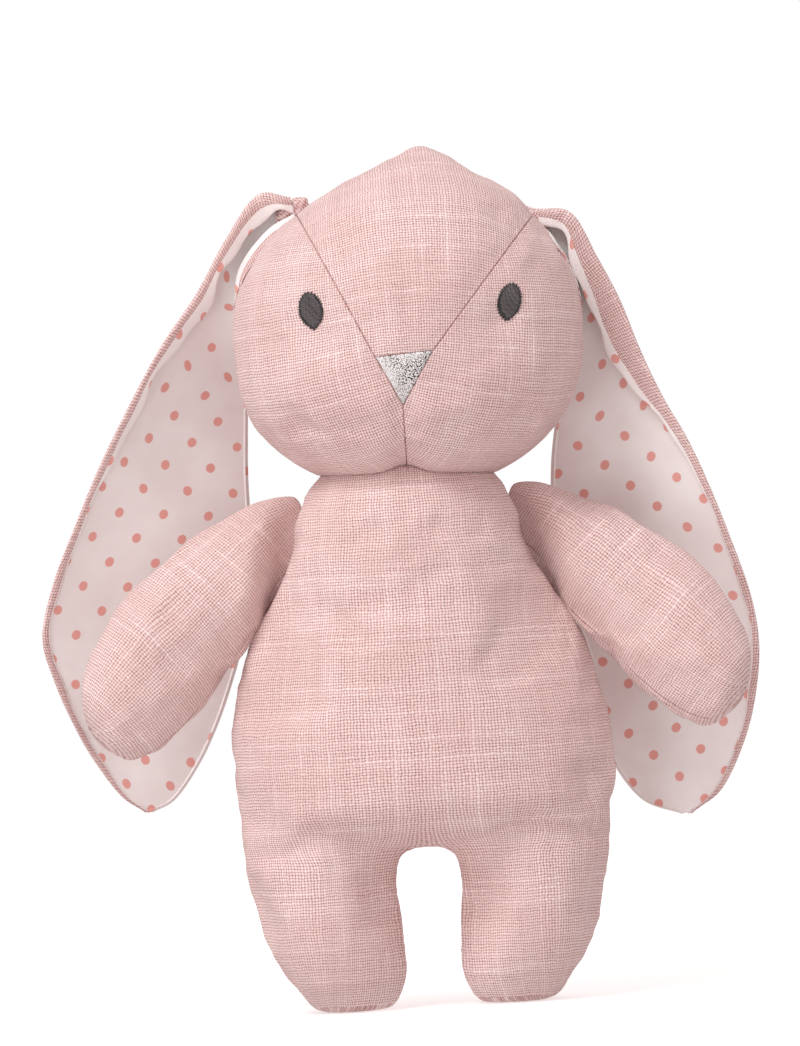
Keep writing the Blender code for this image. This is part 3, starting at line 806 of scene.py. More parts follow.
# The sewing thread's pink, and its painted highlight.
SEWING_PINKS = srgb(186, 138, 134), srgb(224, 180, 176)
SEWING_THREAD = thread_material("sewing_thread", *SEWING_PINKS, 0.75, 12000)
FILLING = fibre_fill()


# ---- forms ----


def standing(bottom, top, rows, scale, side=1):
    """How a head, trunk or leg fills the unit ball. Rows: height, centre, width, depths."""

    def place(units):
        height = bottom + (top - bottom) * (units[:, 2] + 1) / 2
        level = height if rows is LEG_ROWS else (units[:, 2] + 1) / 2
        centre, width = through(rows, level, 1), through(rows, level, 2)
        front, back = through(rows, level, 3), through(rows, level, 4)
        depth = np.where(units[:, 1] < 0, front, back)
        across = side * centre + width * units[:, 0]
        return np.stack([across * scale, depth * units[:, 1] * scale, height], axis=1)

    return place


def union(forms, voxel):
    """One even skin round several closed forms."""
    joined = bmesh.new()
    for form in forms:
        mesh = bpy.data.meshes.new("part")
        form.to_mesh(mesh)
        joined.from_mesh(mesh)
        form.free()
    obj = new_object("union", joined)
    remesh = obj.modifiers.new("Union", "REMESH")
    remesh.mode = "VOXEL"
    remesh.voxel_size = voxel * MM
    return evaluated(obj)


def on_neck_ball(points, radius):
    """Where points lie when they are brought onto the ball on which the head turns."""
    reach = points - NECK_CENTRE
    return NECK_CENTRE + reach * (radius / np.linalg.norm(reach, axis=1))[:, None]


# Head

GUSSET_TOP = {
    "left": (EAR_SWING["left"].x - 4, EAR_SWING["left"].z - 4),
    "right": (EAR_SWING["right"].x + 5.5, EAR_SWING["right"].z - 6),
}
NOSE_CORNER = {
    "left": (NOSE_HIGH[0] + 0.8, NOSE_HIGH[2] - 1.1),
    "right": (NOSE_LOW[0], NOSE_HIGH[2] - 2.1),
}
NOSE_TIP = ((NOSE_LOW[0] + NOSE_HIGH[0]) / 2 - 0.9, NOSE_LOW[2] - 2.0)
NECK_OPENING = HEAD_LOW[2] + 1.5
HEAD_CENTRE = np.array(((HEAD_LOW[0] + HEAD_HIGH[0]) / 2, 0, HEAD_TOP - HEAD_HALF_WIDTH))
HEAD_LEAN = math.radians(0.5)  # the head sits a little straighter than the trunk
CROWN = np.array((9.5, 2.0, HEAD_TOP))

EYE_SHIFT = {"left": (-0.7, -1.6), "right": (1.6, -1.1)}
EYE_DENTS = (  # depth, place outward and upward from the eye, height over width, width
    (0.8, 0.0, 0.0, 1.0, 8),
    (1.5, -1.5, -8.0, 1.3, 5.5),
    (-0.7, 2.0, -24.0, 1.0, 14),
)

SIDE_SEAM = Seam((0, SEAM_Y, 0), (0, 1, 0))
CHIN_SEAM = Seam((NOSE_TIP[0], 0, 0), (1, 0, 0))
BACK_SEAM = Seam((0, 0, 0), (1, 0, 0))
OPENING = Seam((0, 0, NECK_OPENING), (0, 0, 1))
GUSSET_SEAM = {side: upright_seam(NOSE_CORNER[side], GUSSET_TOP[side]) for side in SIDES}
NOSE_SEAM = {side: upright_seam(NOSE_TIP, NOSE_CORNER[side]) for side in SIDES}
BRIDGE = upright_seam(NOSE_CORNER["right"], NOSE_CORNER["left"])
NOSE_END = Seam((0, 0, NOSE_TIP[1]), (0, 0, 1))


def in_cup(points):
    reach = np.linalg.norm(points - NECK_CENTRE, axis=1)
    return (points[:, 2] > NECK_OPENING) & (reach < NECK_BALL + NECK_CLEARANCE + 0.5)


def in_face(points, margin):
    return (SIDE_SEAM.off(points) < margin) & ~in_cup(points)


def between(seams, points, margin):
    return (seams["left"].off(points) < margin) & (seams["right"].off(points) > -margin)


def in_gusset(points, margin):
    inside = in_face(points, margin) & between(GUSSET_SEAM, points, margin)
    return inside & (BRIDGE.off(points) < margin)


def in_nose(points, margin):
    inside = in_face(points, margin) & between(NOSE_SEAM, points, margin)
    return inside & (BRIDGE.off(points) > -margin)


def in_cheek(side):
    out = SIDES[side]

    def belongs(points, margin):
        high, low = BRIDGE.off(points) < 0, NOSE_END.off(points) < 0
        beyond = out * np.where(
            high,
            GUSSET_SEAM[side].off(points),
            np.where(low, CHIN_SEAM.off(points), NOSE_SEAM[side].off(points)),
        )
        return in_face(points, margin) & (beyond > -margin)

    return belongs


def in_head_back(side):
    out = SIDES[side]

    def belongs(points, margin):
        behind = (SIDE_SEAM.off(points) > -margin) & ~in_cup(points)
        return behind & (out * BACK_SEAM.off(points) > -margin)

    return belongs


def head_seam_gap(points):
    """Roughly how far each point of the head lies from its nearest seam."""
    x, y, z = points.T
    front = y < SEAM_Y
    face_seams = [
        np.where(z > NOSE_CORNER[side][1], np.abs(GUSSET_SEAM[side].off(points)), 99)
        for side in SIDES
    ]
    face_seams.append(np.where(z < NOSE_TIP[1], np.abs(CHIN_SEAM.off(points)), 99))
    nose = (z > NOSE_TIP[1]) & (z < NOSE_CORNER["left"][1])
    face_seams += [np.where(nose, np.abs(NOSE_SEAM[side].off(points)), 99) for side in SIDES]
    gap = np.where(front, np.min(face_seams, axis=0), np.abs(BACK_SEAM.off(points)))
    return np.minimum(gap, np.abs(SIDE_SEAM.off(points)))


def head_coarse():
    return placed_ball(21, standing(HEAD_BOTTOM, HEAD_TOP, HEAD_ROWS, HEAD_HALF_WIDTH))


def head_held(points):
    seams = 1 - ease(1.2, 4.2, head_seam_gap(points))
    return np.maximum(seams, 1 - ease(HEAD_LOW[2] + 3, HEAD_LOW[2] + 14, points[:, 2]))


def eye_place(side):
    """The middle of an eye, where the picture has it."""
    low, high = box_of(f"{side}_eye")
    middle = (low + high) / 2
    middle[[0, 2]] += EYE_SHIFT[side]
    return middle


def shape_head(skin):
    """The dents and rises that the filling and the stitches leave in the head."""
    points, normals = points_of(skin), normals_of(skin)
    x, y, z = points.T
    front = ease(2, -8, y)
    inset = np.zeros(len(points))
    below_nose = ease(NOSE_TIP[1] + 3, NOSE_TIP[1] - 10, z)
    valley = hill(x - NOSE_TIP[0], 5.5) * (1.4 * below_nose + 1.8 * ease(168, 158, z))
    inset += front * valley
    inset += front * 0.9 * hill(np.hypot(x - NOSE_TIP[0], z - NOSE_TIP[1] + 1), 5)
    for side, out in SIDES.items():
        eye_x, _, eye_z = eye_place(side)
        for depth, outward, upward, tall, width in EYE_DENTS:
            reach = np.hypot(x - eye_x - out * outward, (z - eye_z - upward) / tall)
            inset += front * depth * hill(reach, width)
    peak = np.hypot(x - CROWN[0], y - CROWN[1])
    inset -= 1.3 * np.maximum(0, 1 - peak / 7) ** 1.5
    inset -= 0.35 * hill(peak - 14, 8) * ease(225, 240, z)
    points = points - normals * inset[:, None]
    lean = HEAD_LEAN * (points[:, [2, 0]] - HEAD_CENTRE[[2, 0]])
    points[:, 0] += lean[:, 0]
    points[:, 2] -= lean[:, 1]
    ball_radius = NECK_BALL + NECK_CLEARANCE
    reach = np.linalg.norm(points - NECK_CENTRE, axis=1)
    inside = (reach < ball_radius)[:, None]
    points = np.where(inside, on_neck_ball(points, ball_radius), points)
    set_points(skin, points)


def is_head_seam(middle):
    return not (abs(middle[2] - NECK_OPENING) < 0.3 and math.hypot(middle[0], middle[1]) < 30)


def make_head(skin):
    """The six panels of the head."""

    def panel(name, seams, belongs, facing, turn=0.0, splits=(), material=LINEN, **edge):
        form = cut_panel(skin, seams, belongs, splits)
        flat = round_pattern(HEAD_CENTRE, facing, turn)
        piece = make_panel(name, form, flat, material, is_head_seam, **edge)
        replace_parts(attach(piece, "head"), name)
        return piece

    seams = (SIDE_SEAM, BRIDGE, *GUSSET_SEAM.values())
    pieces = [panel("forehead_gusset", seams, in_gusset, (0.02, -0.86, 0.5))]
    seams = (BRIDGE, *NOSE_SEAM.values())
    edge = {"roll": 0.8, "pucker": 0.1}
    nose = panel("nose_patch", seams, in_nose, (0, -1, -0.25), 0.35, material=LAME, **edge)
    for side, out in SIDES.items():
        seams = (SIDE_SEAM, GUSSET_SEAM[side], NOSE_SEAM[side], CHIN_SEAM)
        facing, splits = (0.55 * out, -0.83, -0.15), (OPENING, BRIDGE, NOSE_END)
        cheek = panel(f"{side}_cheek", seams, in_cheek(side), facing, -0.10 * out, splits)
        seams, facing = (SIDE_SEAM, BACK_SEAM), (0.5 * out, 0.85, 0.1)
        back = panel(f"{side}_head_back", seams, in_head_back(side), facing, 0.0, (OPENING,))
        pieces += [cheek, back]


# Trunk and legs

BODY_SEAM = Seam((0, 0, 0), (0, 1, 0))
HIP_SPLIT = Seam((0, 0, LEG_SPLIT), (0, 0, 1))
SOLE = 1.5  # the height under which the feet flatten
BODY_VOXEL = 3.0
RELAX_LOSS = 0.7  # what evening out takes off the body's skin


def body_coarse():
    trunk = placed_ball(24, standing(TRUNK_BOTTOM, TRUNK_TOP, TRUNK_ROWS, TRUNK_HALF_WIDTH))
    legs = [
        placed_ball(18, standing(*LEG_SPAN, LEG_ROWS, HIP.x, out)) for out in SIDES.values()
    ]
    skin = union([trunk, *legs], BODY_VOXEL)
    x, _, z = points_of(skin).T
    relax(skin, 4)
    relax(skin, 9, hill(z - HIP.z, 16))
    relax(skin, 22, hill(z - HIP.z - 6, 18) * ease(34, 46, np.abs(x)))
    set_points(skin, points_of(skin) + normals_of(skin) * RELAX_LOSS)
    return skin


def body_held(points):
    x, y, z = points.T
    seam = np.where(y > 3, np.minimum(np.abs(y), np.abs(x)), np.abs(y))
    seams = 1 - ease(1.5, 4.2, seam)
    return np.maximum(seams, ease(138, 146, z))


def shape_body(skin):
    """Dents over the hips and at the waist, a flat sole, and the round top of the neck."""
    points, normals = points_of(skin), normals_of(skin)
    x, y, z = points.T
    front = ease(4, -8, y)
    inset = np.zeros(len(points))
    for out in SIDES.values():
        crease = (z - HIP.z - 6) - 0.28 * (out * x - 14)
        inset += front * 0.35 * hill(crease, 6) * ease(2, 16, out * x) * ease(60, 40, out * x)
        inset -= front * 1.7 * hill((z - HIP.z + 2) / 1.5, 7) * ease(4, 18, out * x)
        inset += front * 0.8 * hill(np.hypot(out * x - 40, (z - 122) / 2), 10)
        seam_x = ARM_SEAM_MIDDLE.x - 0.32 * (z - ARM_SEAM_MIDDLE.z)
        groove = hill(np.hypot(out * x - seam_x, y), 6.5)
        inset += 2.6 * groove * ease(112, 124, z) * ease(156, 148, z)
    points = points - normals * inset[:, None]
    near_top = ease(147, 153, z)[:, None]
    points = points + near_top * (on_neck_ball(points, NECK_BALL) - points)
    under = np.minimum(points[:, 2] - SOLE, 0)
    points[:, 2] = np.where(under < 0, SOLE * np.exp(under / SOLE), points[:, 2])
    set_points(skin, points)


def body_pattern(skin, facing):
    """A flat pattern that runs round the trunk, and round each leg below it."""
    points = points_of(skin)
    levels = np.arange(2, TRUNK_TOP - 2, 3.0)
    width, depth = [], []
    for level in levels:
        ring = points[np.abs(points[:, 2] - level) < 2.5]
        width.append(np.abs(ring[:, 0]).max())
        depth.append(np.abs(ring[:, 1]).max())
    width, depth = np.array(width), np.array(depth)
    slope = np.hypot(np.diff(levels), np.diff(depth))
    run = np.concatenate([[0], np.cumsum(slope)])

    def flat(panel):
        x, y, z = panel.T
        wide, deep = np.interp(z, levels, width), np.interp(z, levels, depth)
        side = np.sign(x)
        turn = np.arctan2(x / wide, facing * y / deep)
        round_trunk = turn * np.sqrt((wide**2 + deep**2) / 2)
        leg_x = np.abs(x) - HIP.x
        height = np.maximum(facing * y, 0.01)
        leg_turn = np.arctan2(leg_x, height)
        inward = -HIP.x * leg_turn / np.arctan2(-HIP.x, height)
        round_leg = side * (HIP.x + np.where(leg_x > 0, leg_turn * 22, inward))
        on_leg = ease(LEG_SPLIT + 16, LEG_SPLIT - 4, z)
        across = round_trunk + on_leg * (round_leg - round_trunk)
        return np.stack([across, np.interp(z, levels, run)], axis=1)

    return flat


def is_body_seam(middle):
    return abs(middle[2] - LEG_SPLIT) > 0.2


def in_trunk(facing=0, half=0):
    """Tells which places belong to the trunk, or to its front (-1), back (1) or one half."""

    def belongs(points, margin):
        side = (facing == 0) | (facing * points[:, 1] > -margin)
        side &= (half == 0) | (half * points[:, 0] > -margin)
        return side & (points[:, 2] > LEG_SPLIT - margin)

    return belongs


def in_leg(out, facing=0):
    """Tells which places belong to a leg, or to its front (-1) or back (1)."""

    def belongs(points, margin):
        side = (facing == 0) | (facing * points[:, 1] > -margin)
        return side & (points[:, 2] < LEG_SPLIT + margin) & (out * points[:, 0] > -margin)

    return belongs


def make_body(skin):
    """The trunk's three panels and the legs' four, cut from one skin."""

    def panel(name, seams, belongs, flat):
        form = cut_panel(skin, seams, belongs, (HIP_SPLIT,))
        return make_panel(name, form, flat, LINEN, is_body_seam)

    halves = {-1: {"": 0}, 1: {"left_": 1, "right_": -1}}
    for facing, name in ((-1, "front"), (1, "back")):
        flat = body_pattern(skin, facing)
        for prefix, half in halves[facing].items():
            node = f"{prefix}trunk_{name}"
            seams = (BODY_SEAM, BACK_SEAM) if half else (BODY_SEAM,)
            trunk = panel(node, seams, in_trunk(facing, half), flat)
            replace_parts(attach(trunk, "trunk"), node)
        for side, out in SIDES.items():
            node = f"{side}_leg_{name}"
            leg = panel(node, (BODY_SEAM,), in_leg(out, facing), flat)
            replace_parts(bend_leg(leg), node)


def bend_leg(obj):
    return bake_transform(obj)


# Arms

ARM_AXIS = np.array((0.715, -0.208, -0.667))
ARM_ACROSS = {
    "left": unit(np.array((0.67, 0.20, 0.71))),
    "right": unit(np.array((0.68, 0.06, 0.73))),
}
ARM_THROUGH = {side: unit(np.cross(ARM_AXIS, across)) for side, across in ARM_ACROSS.items()}


def looped(rows):
    """The rows with one more at each end, which swaps the edges, so that both ends are round."""

    def beyond(row, station):
        share, top_x, top_z, low_x, low_z, thickness, forward = row
        return (2 * station - share, low_x, low_z, top_x, top_z, -thickness, forward)

    return (beyond(rows[1], 0), *rows, beyond(rows[-2], 1))


def arm_points(side):
    rows, out = looped(ARM_ROWS), SIDES[side]

    def place(units):
        share = np.arccos(np.clip(-units[:, 2], -1, 1)) / math.pi
        ring = np.maximum(np.sqrt(np.maximum(1 - units[:, 2] ** 2, 0)), 1e-6)
        column = [through(rows, share, index) for index in range(7)]
        wide, deep = units[:, 0] / ring, units[:, 1] / ring
        x = (column[1] + column[3]) / 2 + wide * (column[1] - column[3]) / 2
        z = (column[2] + column[4]) / 2 + wide * (column[2] - column[4]) / 2
        return np.stack([out * x, deep * column[5] - column[6], z], axis=1)

    return place


def arm_seam(side):
    """The edge seam: a plane along the arm, whose lower edge comes a little forward."""
    out = SIDES[side]
    middle = np.array((78.0 * out, -11.5, 103.0))
    return Seam(middle, ARM_THROUGH[side] * (out, 1, 1))


def arm_coarse(side):
    form = placed_ball(13, arm_points(side))
    if form.calc_volume(signed=True) < 0:
        bmesh.ops.reverse_faces(form, faces=form.faces)
    return form


def arm_held(side, points):
    rooted = 1 - ease(36, 46, np.abs(points[:, 0]))
    seam = 1 - ease(0.8, 3.0, np.abs(arm_seam(side).off(points)))
    return np.maximum(seam * ease(52, 70, np.abs(points[:, 0])), rooted)


def arm_pattern(side):
    out = SIDES[side]
    axis, across = ARM_AXIS * (out, 1, 1), ARM_ACROSS[side] * (out, 1, 1)
    normal = arm_seam(side).normal
    pivot = np.array((ARM_PIVOT.x * out, ARM_PIVOT.y, ARM_PIVOT.z))

    def flat(points):
        reach = points - pivot
        along, wide, deep = reach @ axis, reach @ across, reach @ normal
        turn = np.arctan2(wide, np.abs(deep) * 1.4 + 0.01)
        return np.stack([turn * 17, along * 1.04], axis=1)

    return flat


def bend_arm(obj, side):
    out = SIDES[side]
    start = ARM_SEAM_MIDDLE + Vector((2, 0, -1))
    end = ARM_PIVOT + Vector(ARM_AXIS) * 14
    start.x, end.x = start.x * out, end.x * out
    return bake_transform(obj)


def make_arm(skin, side):
    seam = arm_seam(side)
    for name, facing in (("front", 1), ("back", -1)):
        toward = facing if seam.normal[1] < 0 else -facing

        def belongs(points, margin, toward=toward):
            return toward * seam.off(points) > -margin

        node = f"{side}_arm_{name}"
        panel = make_panel(node, cut_panel(skin, (seam,), belongs), arm_pattern(side), LINEN)
        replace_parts(bend_arm(panel, side), node)


# Filling

# Waves in the filling's surface, and where each starts
LUMPS = (((0.31, 0.12, 0.22), 0.4), ((-0.17, 0.35, 0.19), 2.1), ((0.11, -0.23, 0.41), 4.0))
LUMP_HEIGHT = 0.5
FILLING_MARGIN = 5


def make_filling(name, skin, belongs, inset, splits=()):
    """A lumpy body of filling inside a skin."""
    form = skin.copy()
    keep_faces(form, faces_inside(form, lambda middles: belongs(middles, FILLING_MARGIN)))
    for seam in splits:
        slice_form(form, seam)
    keep_faces(form, faces_inside(form, lambda middles: belongs(middles, 0)))
    points, normals = points_of(form), normals_of(form)
    lumps = sum(np.sin(points @ np.array(wave) + turn) for wave, turn in LUMPS) / len(LUMPS)
    set_points(form, points - normals * (inset + LUMP_HEIGHT * lumps)[:, None])
    obj = new_object(name, form)
    obj.data.materials.append(FILLING)
    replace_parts(obj, name)
    return obj


# Ears

EAR_STATIONS = 150
EAR_CLOTH_GAP = 0.9
COTTON_CLOTH = 0.35
EDGE_TUCK = (0.12, 0.4, 0.8)  # how the last points of the linen turn in under the lining
FOLD_RINGS, FOLD_CORNERS = 16, 44
FOLD_REACH = 0.6  # how far down the ear its root goes, in rows
FOLD_DEPTH, FOLD_DROP, FOLD_THICKNESS = 6.0, 1.2, 2.6
# How far the lining passes its seam, all along and more above
EAR_LIP = {"left": (0.35, 2.0), "right": (0.35, 2.5)}
# How much further forward the outer edge stands than the inner one
EAR_TURN = {"left": 0.30, "right": 0.48}
EAR_SLANT = 0.10
EAR_SEED = {"left": 1.7, "right": 4.2}
EAR_START_Y = EAR_LIFT["left"].y


def ear_section(width, band_out, band_in, deep, cup):
    """Across an ear, from the inner edge's return to the outer edge's: (across, forward)."""
    flat = np.linspace(0, 1, 30)[1:-1]
    turn = np.linspace(-math.pi / 2, math.pi / 2, 11)
    curl_out, curl_in = min(0.6 * band_out, deep / 2), min(0.6 * max(band_in, 0.7), deep / 2)
    inner_roll = float(ease(0, 2, band_in))
    deep_in = 0.5 + (deep - 0.5) * inner_roll
    curl, rise = 1 - np.cos(turn), 1 + np.sin(turn)
    inner = np.stack([curl_in * curl, deep_in / 2 * rise], axis=1)
    outer = np.stack([width - curl_out * curl, deep / 2 * rise], axis=1)
    end_out = np.array((width - max(band_out, curl_out + 0.3), deep))
    end_in = np.array((max(band_in, curl_in + 0.1), deep_in))
    span = np.linspace(0, 1, 6)[1:, None]
    return_out = outer[-1] + (end_out - outer[-1]) * span
    return_in = inner[-1] + (end_in - inner[-1]) * span
    middle = inner[0] + (outer[0] - inner[0]) * flat[:, None]
    line = np.concatenate([return_in[::-1], inner[::-1], middle, outer, return_out])
    from_outer, from_inner = np.maximum(width - line[:, 0], 0), np.maximum(line[:, 0], 0)
    hollow = 1 - np.exp(-from_outer / (0.10 * width + 5))
    hollow *= 1 - inner_roll * np.exp(-from_inner / (0.10 * width + 2))
    line[:, 1] -= cup * hollow
    return line


def beside(line, gap):
    """The line moved sideways, towards the front of the ear."""
    step = np.gradient(line, axis=0)
    step /= np.maximum(np.linalg.norm(step, axis=1), 1e-9)[:, None]
    return line + gap * np.stack([-step[:, 1], step[:, 0]], axis=1)


def lip(line, reach, radius):
    """The lining's puffy edge: past the end of the linen, and round on to its front."""
    end, before = line[-1], line[-4]
    onward = unit(end - before)
    front = np.array((onward[1], -onward[0]))
    front = front if front[1] > 0 else -front
    turn = np.linspace(-math.pi / 2, math.pi / 2, 8)
    tip = end + onward * (reach - radius) + front * radius
    arc = tip + radius * (np.cos(turn)[:, None] * onward + np.sin(turn)[:, None] * front * 0.9)
    inlet = end + front * min(1.0, 1.7 * radius) - onward * 0.2
    back = arc[-1] + (inlet - arc[-1]) * np.linspace(0, 1, 4)[1:, None]
    return np.concatenate([arc, back])


def ear_row(side, station):
    """Both edges of an ear at a station, as (x, z) each, and the widths of its two bands."""
    rows = [(index, *row) for index, row in enumerate(EAR_ROWS[side])]
    at = np.array([station])
    values = np.array([through(rows, at, column)[0] for column in range(1, 7)])
    return values[:2], values[2:4], float(values[4]), float(values[5])


def ear_lines(side):
    """Both layers of an ear as grids of points."""
    end = len(EAR_ROWS[side]) - 1
    spread = np.linspace(0, 1, EAR_STATIONS)
    stations = end * (spread + 0.10 * np.sin(math.pi * spread) ** 2 * spread)
    stations = end * stations / stations[-1]
    seed = EAR_SEED[side]
    linen_grid, lining_grid = [], []
    for station in stations:
        outer, inner, band_out, band_in = ear_row(side, station)
        width = np.linalg.norm(outer - inner)
        across = (outer - inner) / width
        upper = float(ease(8, 3, station))
        rolled_in = float(ease(0, 2, band_in))
        cup = (2.0 + 7.0 * float(ease(9, 3, station))) * min(1, width / 26)
        wave = math.sin(station * 2.9 + seed) + 0.6 * math.sin(station * 6.1 + 2 * seed)
        deep = min(1.9 + 3.8 * upper, 0.5 * width)
        band_out = min(max(band_out + 0.22 * wave, 0.8), 0.45 * width)
        line = ear_section(width, band_out, min(max(band_in, 0), 0.4 * width), deep, cup)
        linen_line = line.copy()
        linen_line[-3:, 1] -= EDGE_TUCK
        linen_line[:3, 1] -= np.array(EDGE_TUCK[::-1]) * rolled_in
        tucked = 1 - float(ease(0, 1, band_in))
        linen_line[:, 0] += 1.1 * tucked * np.exp(-np.maximum(linen_line[:, 0], 0) / 2.5)
        base_reach, upper_reach = EAR_LIP[side]
        swollen = upper * (1 + 0.35 * wave)
        inside = beside(line[2:-1], EAR_CLOTH_GAP)
        front_lip = lip(inside, base_reach + upper_reach * swollen, 0.3 + 0.35 * upper)
        inner_lip = float(ease(0, 2.5, band_in))
        back_lip = lip(inside[::-1], 0.5 + 1.5 * inner_lip, 0.25 + 0.35 * inner_lip)[::-1]
        lining_line = np.concatenate([back_lip, inside, front_lip])
        slant = EAR_TURN[side] * float(ease(0.5, 5, station)) * (width / 2)
        for grid, section in ((linen_grid, linen_line), (lining_grid, lining_line)):
            place = inner + section[:, :1] * across
            y = EAR_START_Y + EAR_SLANT * (EAR_LIFT[side].z - place[:, 1]) - section[:, 1]
            y -= 3.0 * float(hill(station - 2, 1.6))
            y -= slant * (2 * section[:, 0] / width - 1)
            ripple = 0.5 * math.sin(station * 1.7 + seed) * np.sin(place[:, 0] * 0.16)
            grid.append(np.stack([place[:, 0], y + ripple, place[:, 1]], axis=1))
    return np.array(linen_grid), np.array(lining_grid)


def sheet_form(grid, clear):
    """A bmesh of a grid of points, kept clear of the head, and its flat pattern."""
    rows, columns = grid.shape[:2]
    points = grid.reshape(-1, 3)
    rooted = ease(0.10, 0.03, np.repeat(np.arange(rows) / rows, columns))[:, None]
    points = rooted * points + (1 - rooted) * clear(points)
    grid = points.reshape(rows, columns, 3)
    steps = np.linalg.norm(np.diff(grid, axis=1), axis=2)
    across = np.concatenate([np.zeros((rows, 1)), np.cumsum(steps, axis=1)], axis=1)
    across -= across[:, -1:] / 2
    middle = grid[:, columns // 2]
    along = np.concatenate([[0], np.cumsum(np.linalg.norm(np.diff(middle, axis=0), axis=1))])
    pattern = np.stack([across, np.broadcast_to(along[:, None], across.shape)], axis=2)
    form = bmesh.new()
    verts = [form.verts.new(point * MM) for point in points]
    for row in range(rows - 1):
        for column in range(columns - 1):
            first = row * columns + column
            corners = (first, first + 1, first + columns + 1, first + columns)
            form.faces.new([verts[corner] for corner in corners])
    return form, pattern.reshape(-1, 2), float(np.ptp(across)), float(along[-1])


def clear_of(tree, gap):
    """Moves points that lie within the gap of a skin, or inside it, out to the gap."""

    def clear(points):
        moved = points.copy()
        for index, point in enumerate(points):
            place, normal, _, distance = tree.find_nearest(Vector(point * MM), 0.02)
            if place is None:
                continue
            off = (Vector(point * MM) - place).dot(normal) / MM
            short = gap - (off if abs(off) > 1e-6 else 0)
            if off < gap:
                moved[index] += np.array(normal) * short
        return moved

    return clear


def make_ear(side, head_tree):
    """Both layers of an ear, as sheets of cloth."""
    linen_grid, lining_grid = ear_lines(side)
    sheets = []
    for layer, grid, material, slot, thickness, gap in (
        ("outer", linen_grid, LINEN, "linen", CLOTH, 0.6),
        ("lining", lining_grid, COTTON, "ear_cotton", COTTON_CLOTH, 1.0),
    ):
        form, pattern, wide, tall = sheet_form(grid, clear_of(head_tree, gap))
        columns = grid.shape[1]
        count = np.arange(len(form.verts)) % columns
        edge = np.minimum(count, columns - 1 - count)
        bmesh.ops.recalc_face_normals(form, faces=form.faces)
        form.normal_update()
        middle = form.faces[:][(EAR_STATIONS // 2) * (columns - 1) + columns // 2]
        if (middle.normal.y > 0) != (layer == "outer"):
            bmesh.ops.reverse_faces(form, faces=form.faces)
        name = f"{side}_ear_{layer}"
        obj = new_object(name, form)
        add_pattern(obj, pattern)
        # The two outermost columns count as seam, so the linen darkens there with thread colour
        # and painted shade.
        add_value(obj, "seam_distance", np.where(edge < 2, 0.55 * edge + 0.2, NO_SEAM))
        as_cloth(obj, thickness, material)
        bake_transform(obj)
        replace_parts(obj, name)
        sheets.append((obj, wide * MM, tall * MM, cloth_area(grid) * MM * MM))
    for (obj, wide, tall, area), (other, *_) in zip(sheets, sheets[::-1]):
        area = min(max(area, 0.31 * wide * tall), wide * tall)


def cloth_area(grid):
    """Area of a grid of points, in square millimetres."""
    one = np.cross(grid[1:, :-1] - grid[:-1, :-1], grid[:-1, 1:] - grid[:-1, :-1])
    two = np.cross(grid[1:, :-1] - grid[1:, 1:], grid[:-1, 1:] - grid[1:, 1:])
    return (np.linalg.norm(one, axis=2).sum() + np.linalg.norm(two, axis=2).sum()) / 2


def make_ear_fold(side):
    """The pleated root of an ear, pushed into the end of the gusset's seam."""
    root = np.array(EAR_SWING[side])
    form = bmesh.new()
    rings = []
    heading = unit(np.array(EAR_LIFT[side] - EAR_SWING[side]) * (1, 0, 1))
    for share in np.linspace(0, 1, FOLD_RINGS):
        (out_x, out_z), (in_x, in_z), _, _ = ear_row(side, FOLD_REACH * share)
        outer, inner = np.array((out_x, 0, out_z)), np.array((in_x, 0, in_z))
        centre = (outer + inner) / 2 - heading * FOLD_DEPTH * (1 - share)
        centre[2] -= FOLD_DROP
        centre[1] = EAR_START_Y - 1.6
        across = unit(outer - inner)
        round_off = max(0.08, math.sqrt(max(0.0, 1 - (1.9 * share - 0.95) ** 2)))
        half = (0.8 + np.linalg.norm(outer - inner) / 2 * 0.4) * round_off
        thick = FOLD_THICKNESS * round_off
        ring = []
        for step in range(FOLD_CORNERS):
            angle = 2 * math.pi * step / FOLD_CORNERS
            pleat = 1 + 0.07 * math.sin(5 * angle + 2 * share) + 0.03 * math.sin(11 * angle)
            place = centre + across * half * math.cos(angle) * pleat
            place[1] += thick * math.sin(angle) * pleat
            ring.append(form.verts.new(place * MM))
        rings.append(ring)
    tube_faces(form, rings)
    bmesh.ops.recalc_face_normals(form, faces=form.faces)
    points = points_of(form)
    reach = points - root
    angle = np.arctan2(reach[:, 1], reach @ np.array((-heading[2], 0, heading[0])))
    name = f"{side}_ear_fold"
    obj = new_object(name, form)
    add_pattern(obj, np.stack([angle * 4, reach @ heading], axis=1))
    add_value(obj, "seam_distance", np.full(len(points), NO_SEAM))
    obj.data.materials.append(LINEN)
    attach(obj, f"{side}_ear_base")
    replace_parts(obj, name)


# Threads

def thread_run(form, line, radius, around=6):
    """Adds a round thread along a line of points, and returns the pattern of its vertices."""
    line = np.array(line)
    steps = np.gradient(line, axis=0)
    run = np.concatenate([[0], np.cumsum(np.linalg.norm(np.diff(line, axis=0), axis=1))])
    rings, pattern = [], []
    for number, (place, step) in enumerate(zip(line, steps)):
        ahead = unit(step)
        leaning = (0.12, 0.35, 0.93) if abs(ahead[2]) < 0.9 else (1.0, 0.1, 0.0)
        side = unit(np.cross(ahead, leaning))
        up = np.cross(side, ahead)
        fat = radius * (0.55 if number in (0, len(line) - 1) else 1.0)
        ring = []
        for corner in range(around):
            angle = 2 * math.pi * corner / around
            spot = place + fat * (math.cos(angle) * side + math.sin(angle) * up)
            ring.append(form.verts.new(spot * MM))
            pattern.append((angle * radius, run[number]))
        rings.append(ring)
    tube_faces(form, rings)
    return pattern


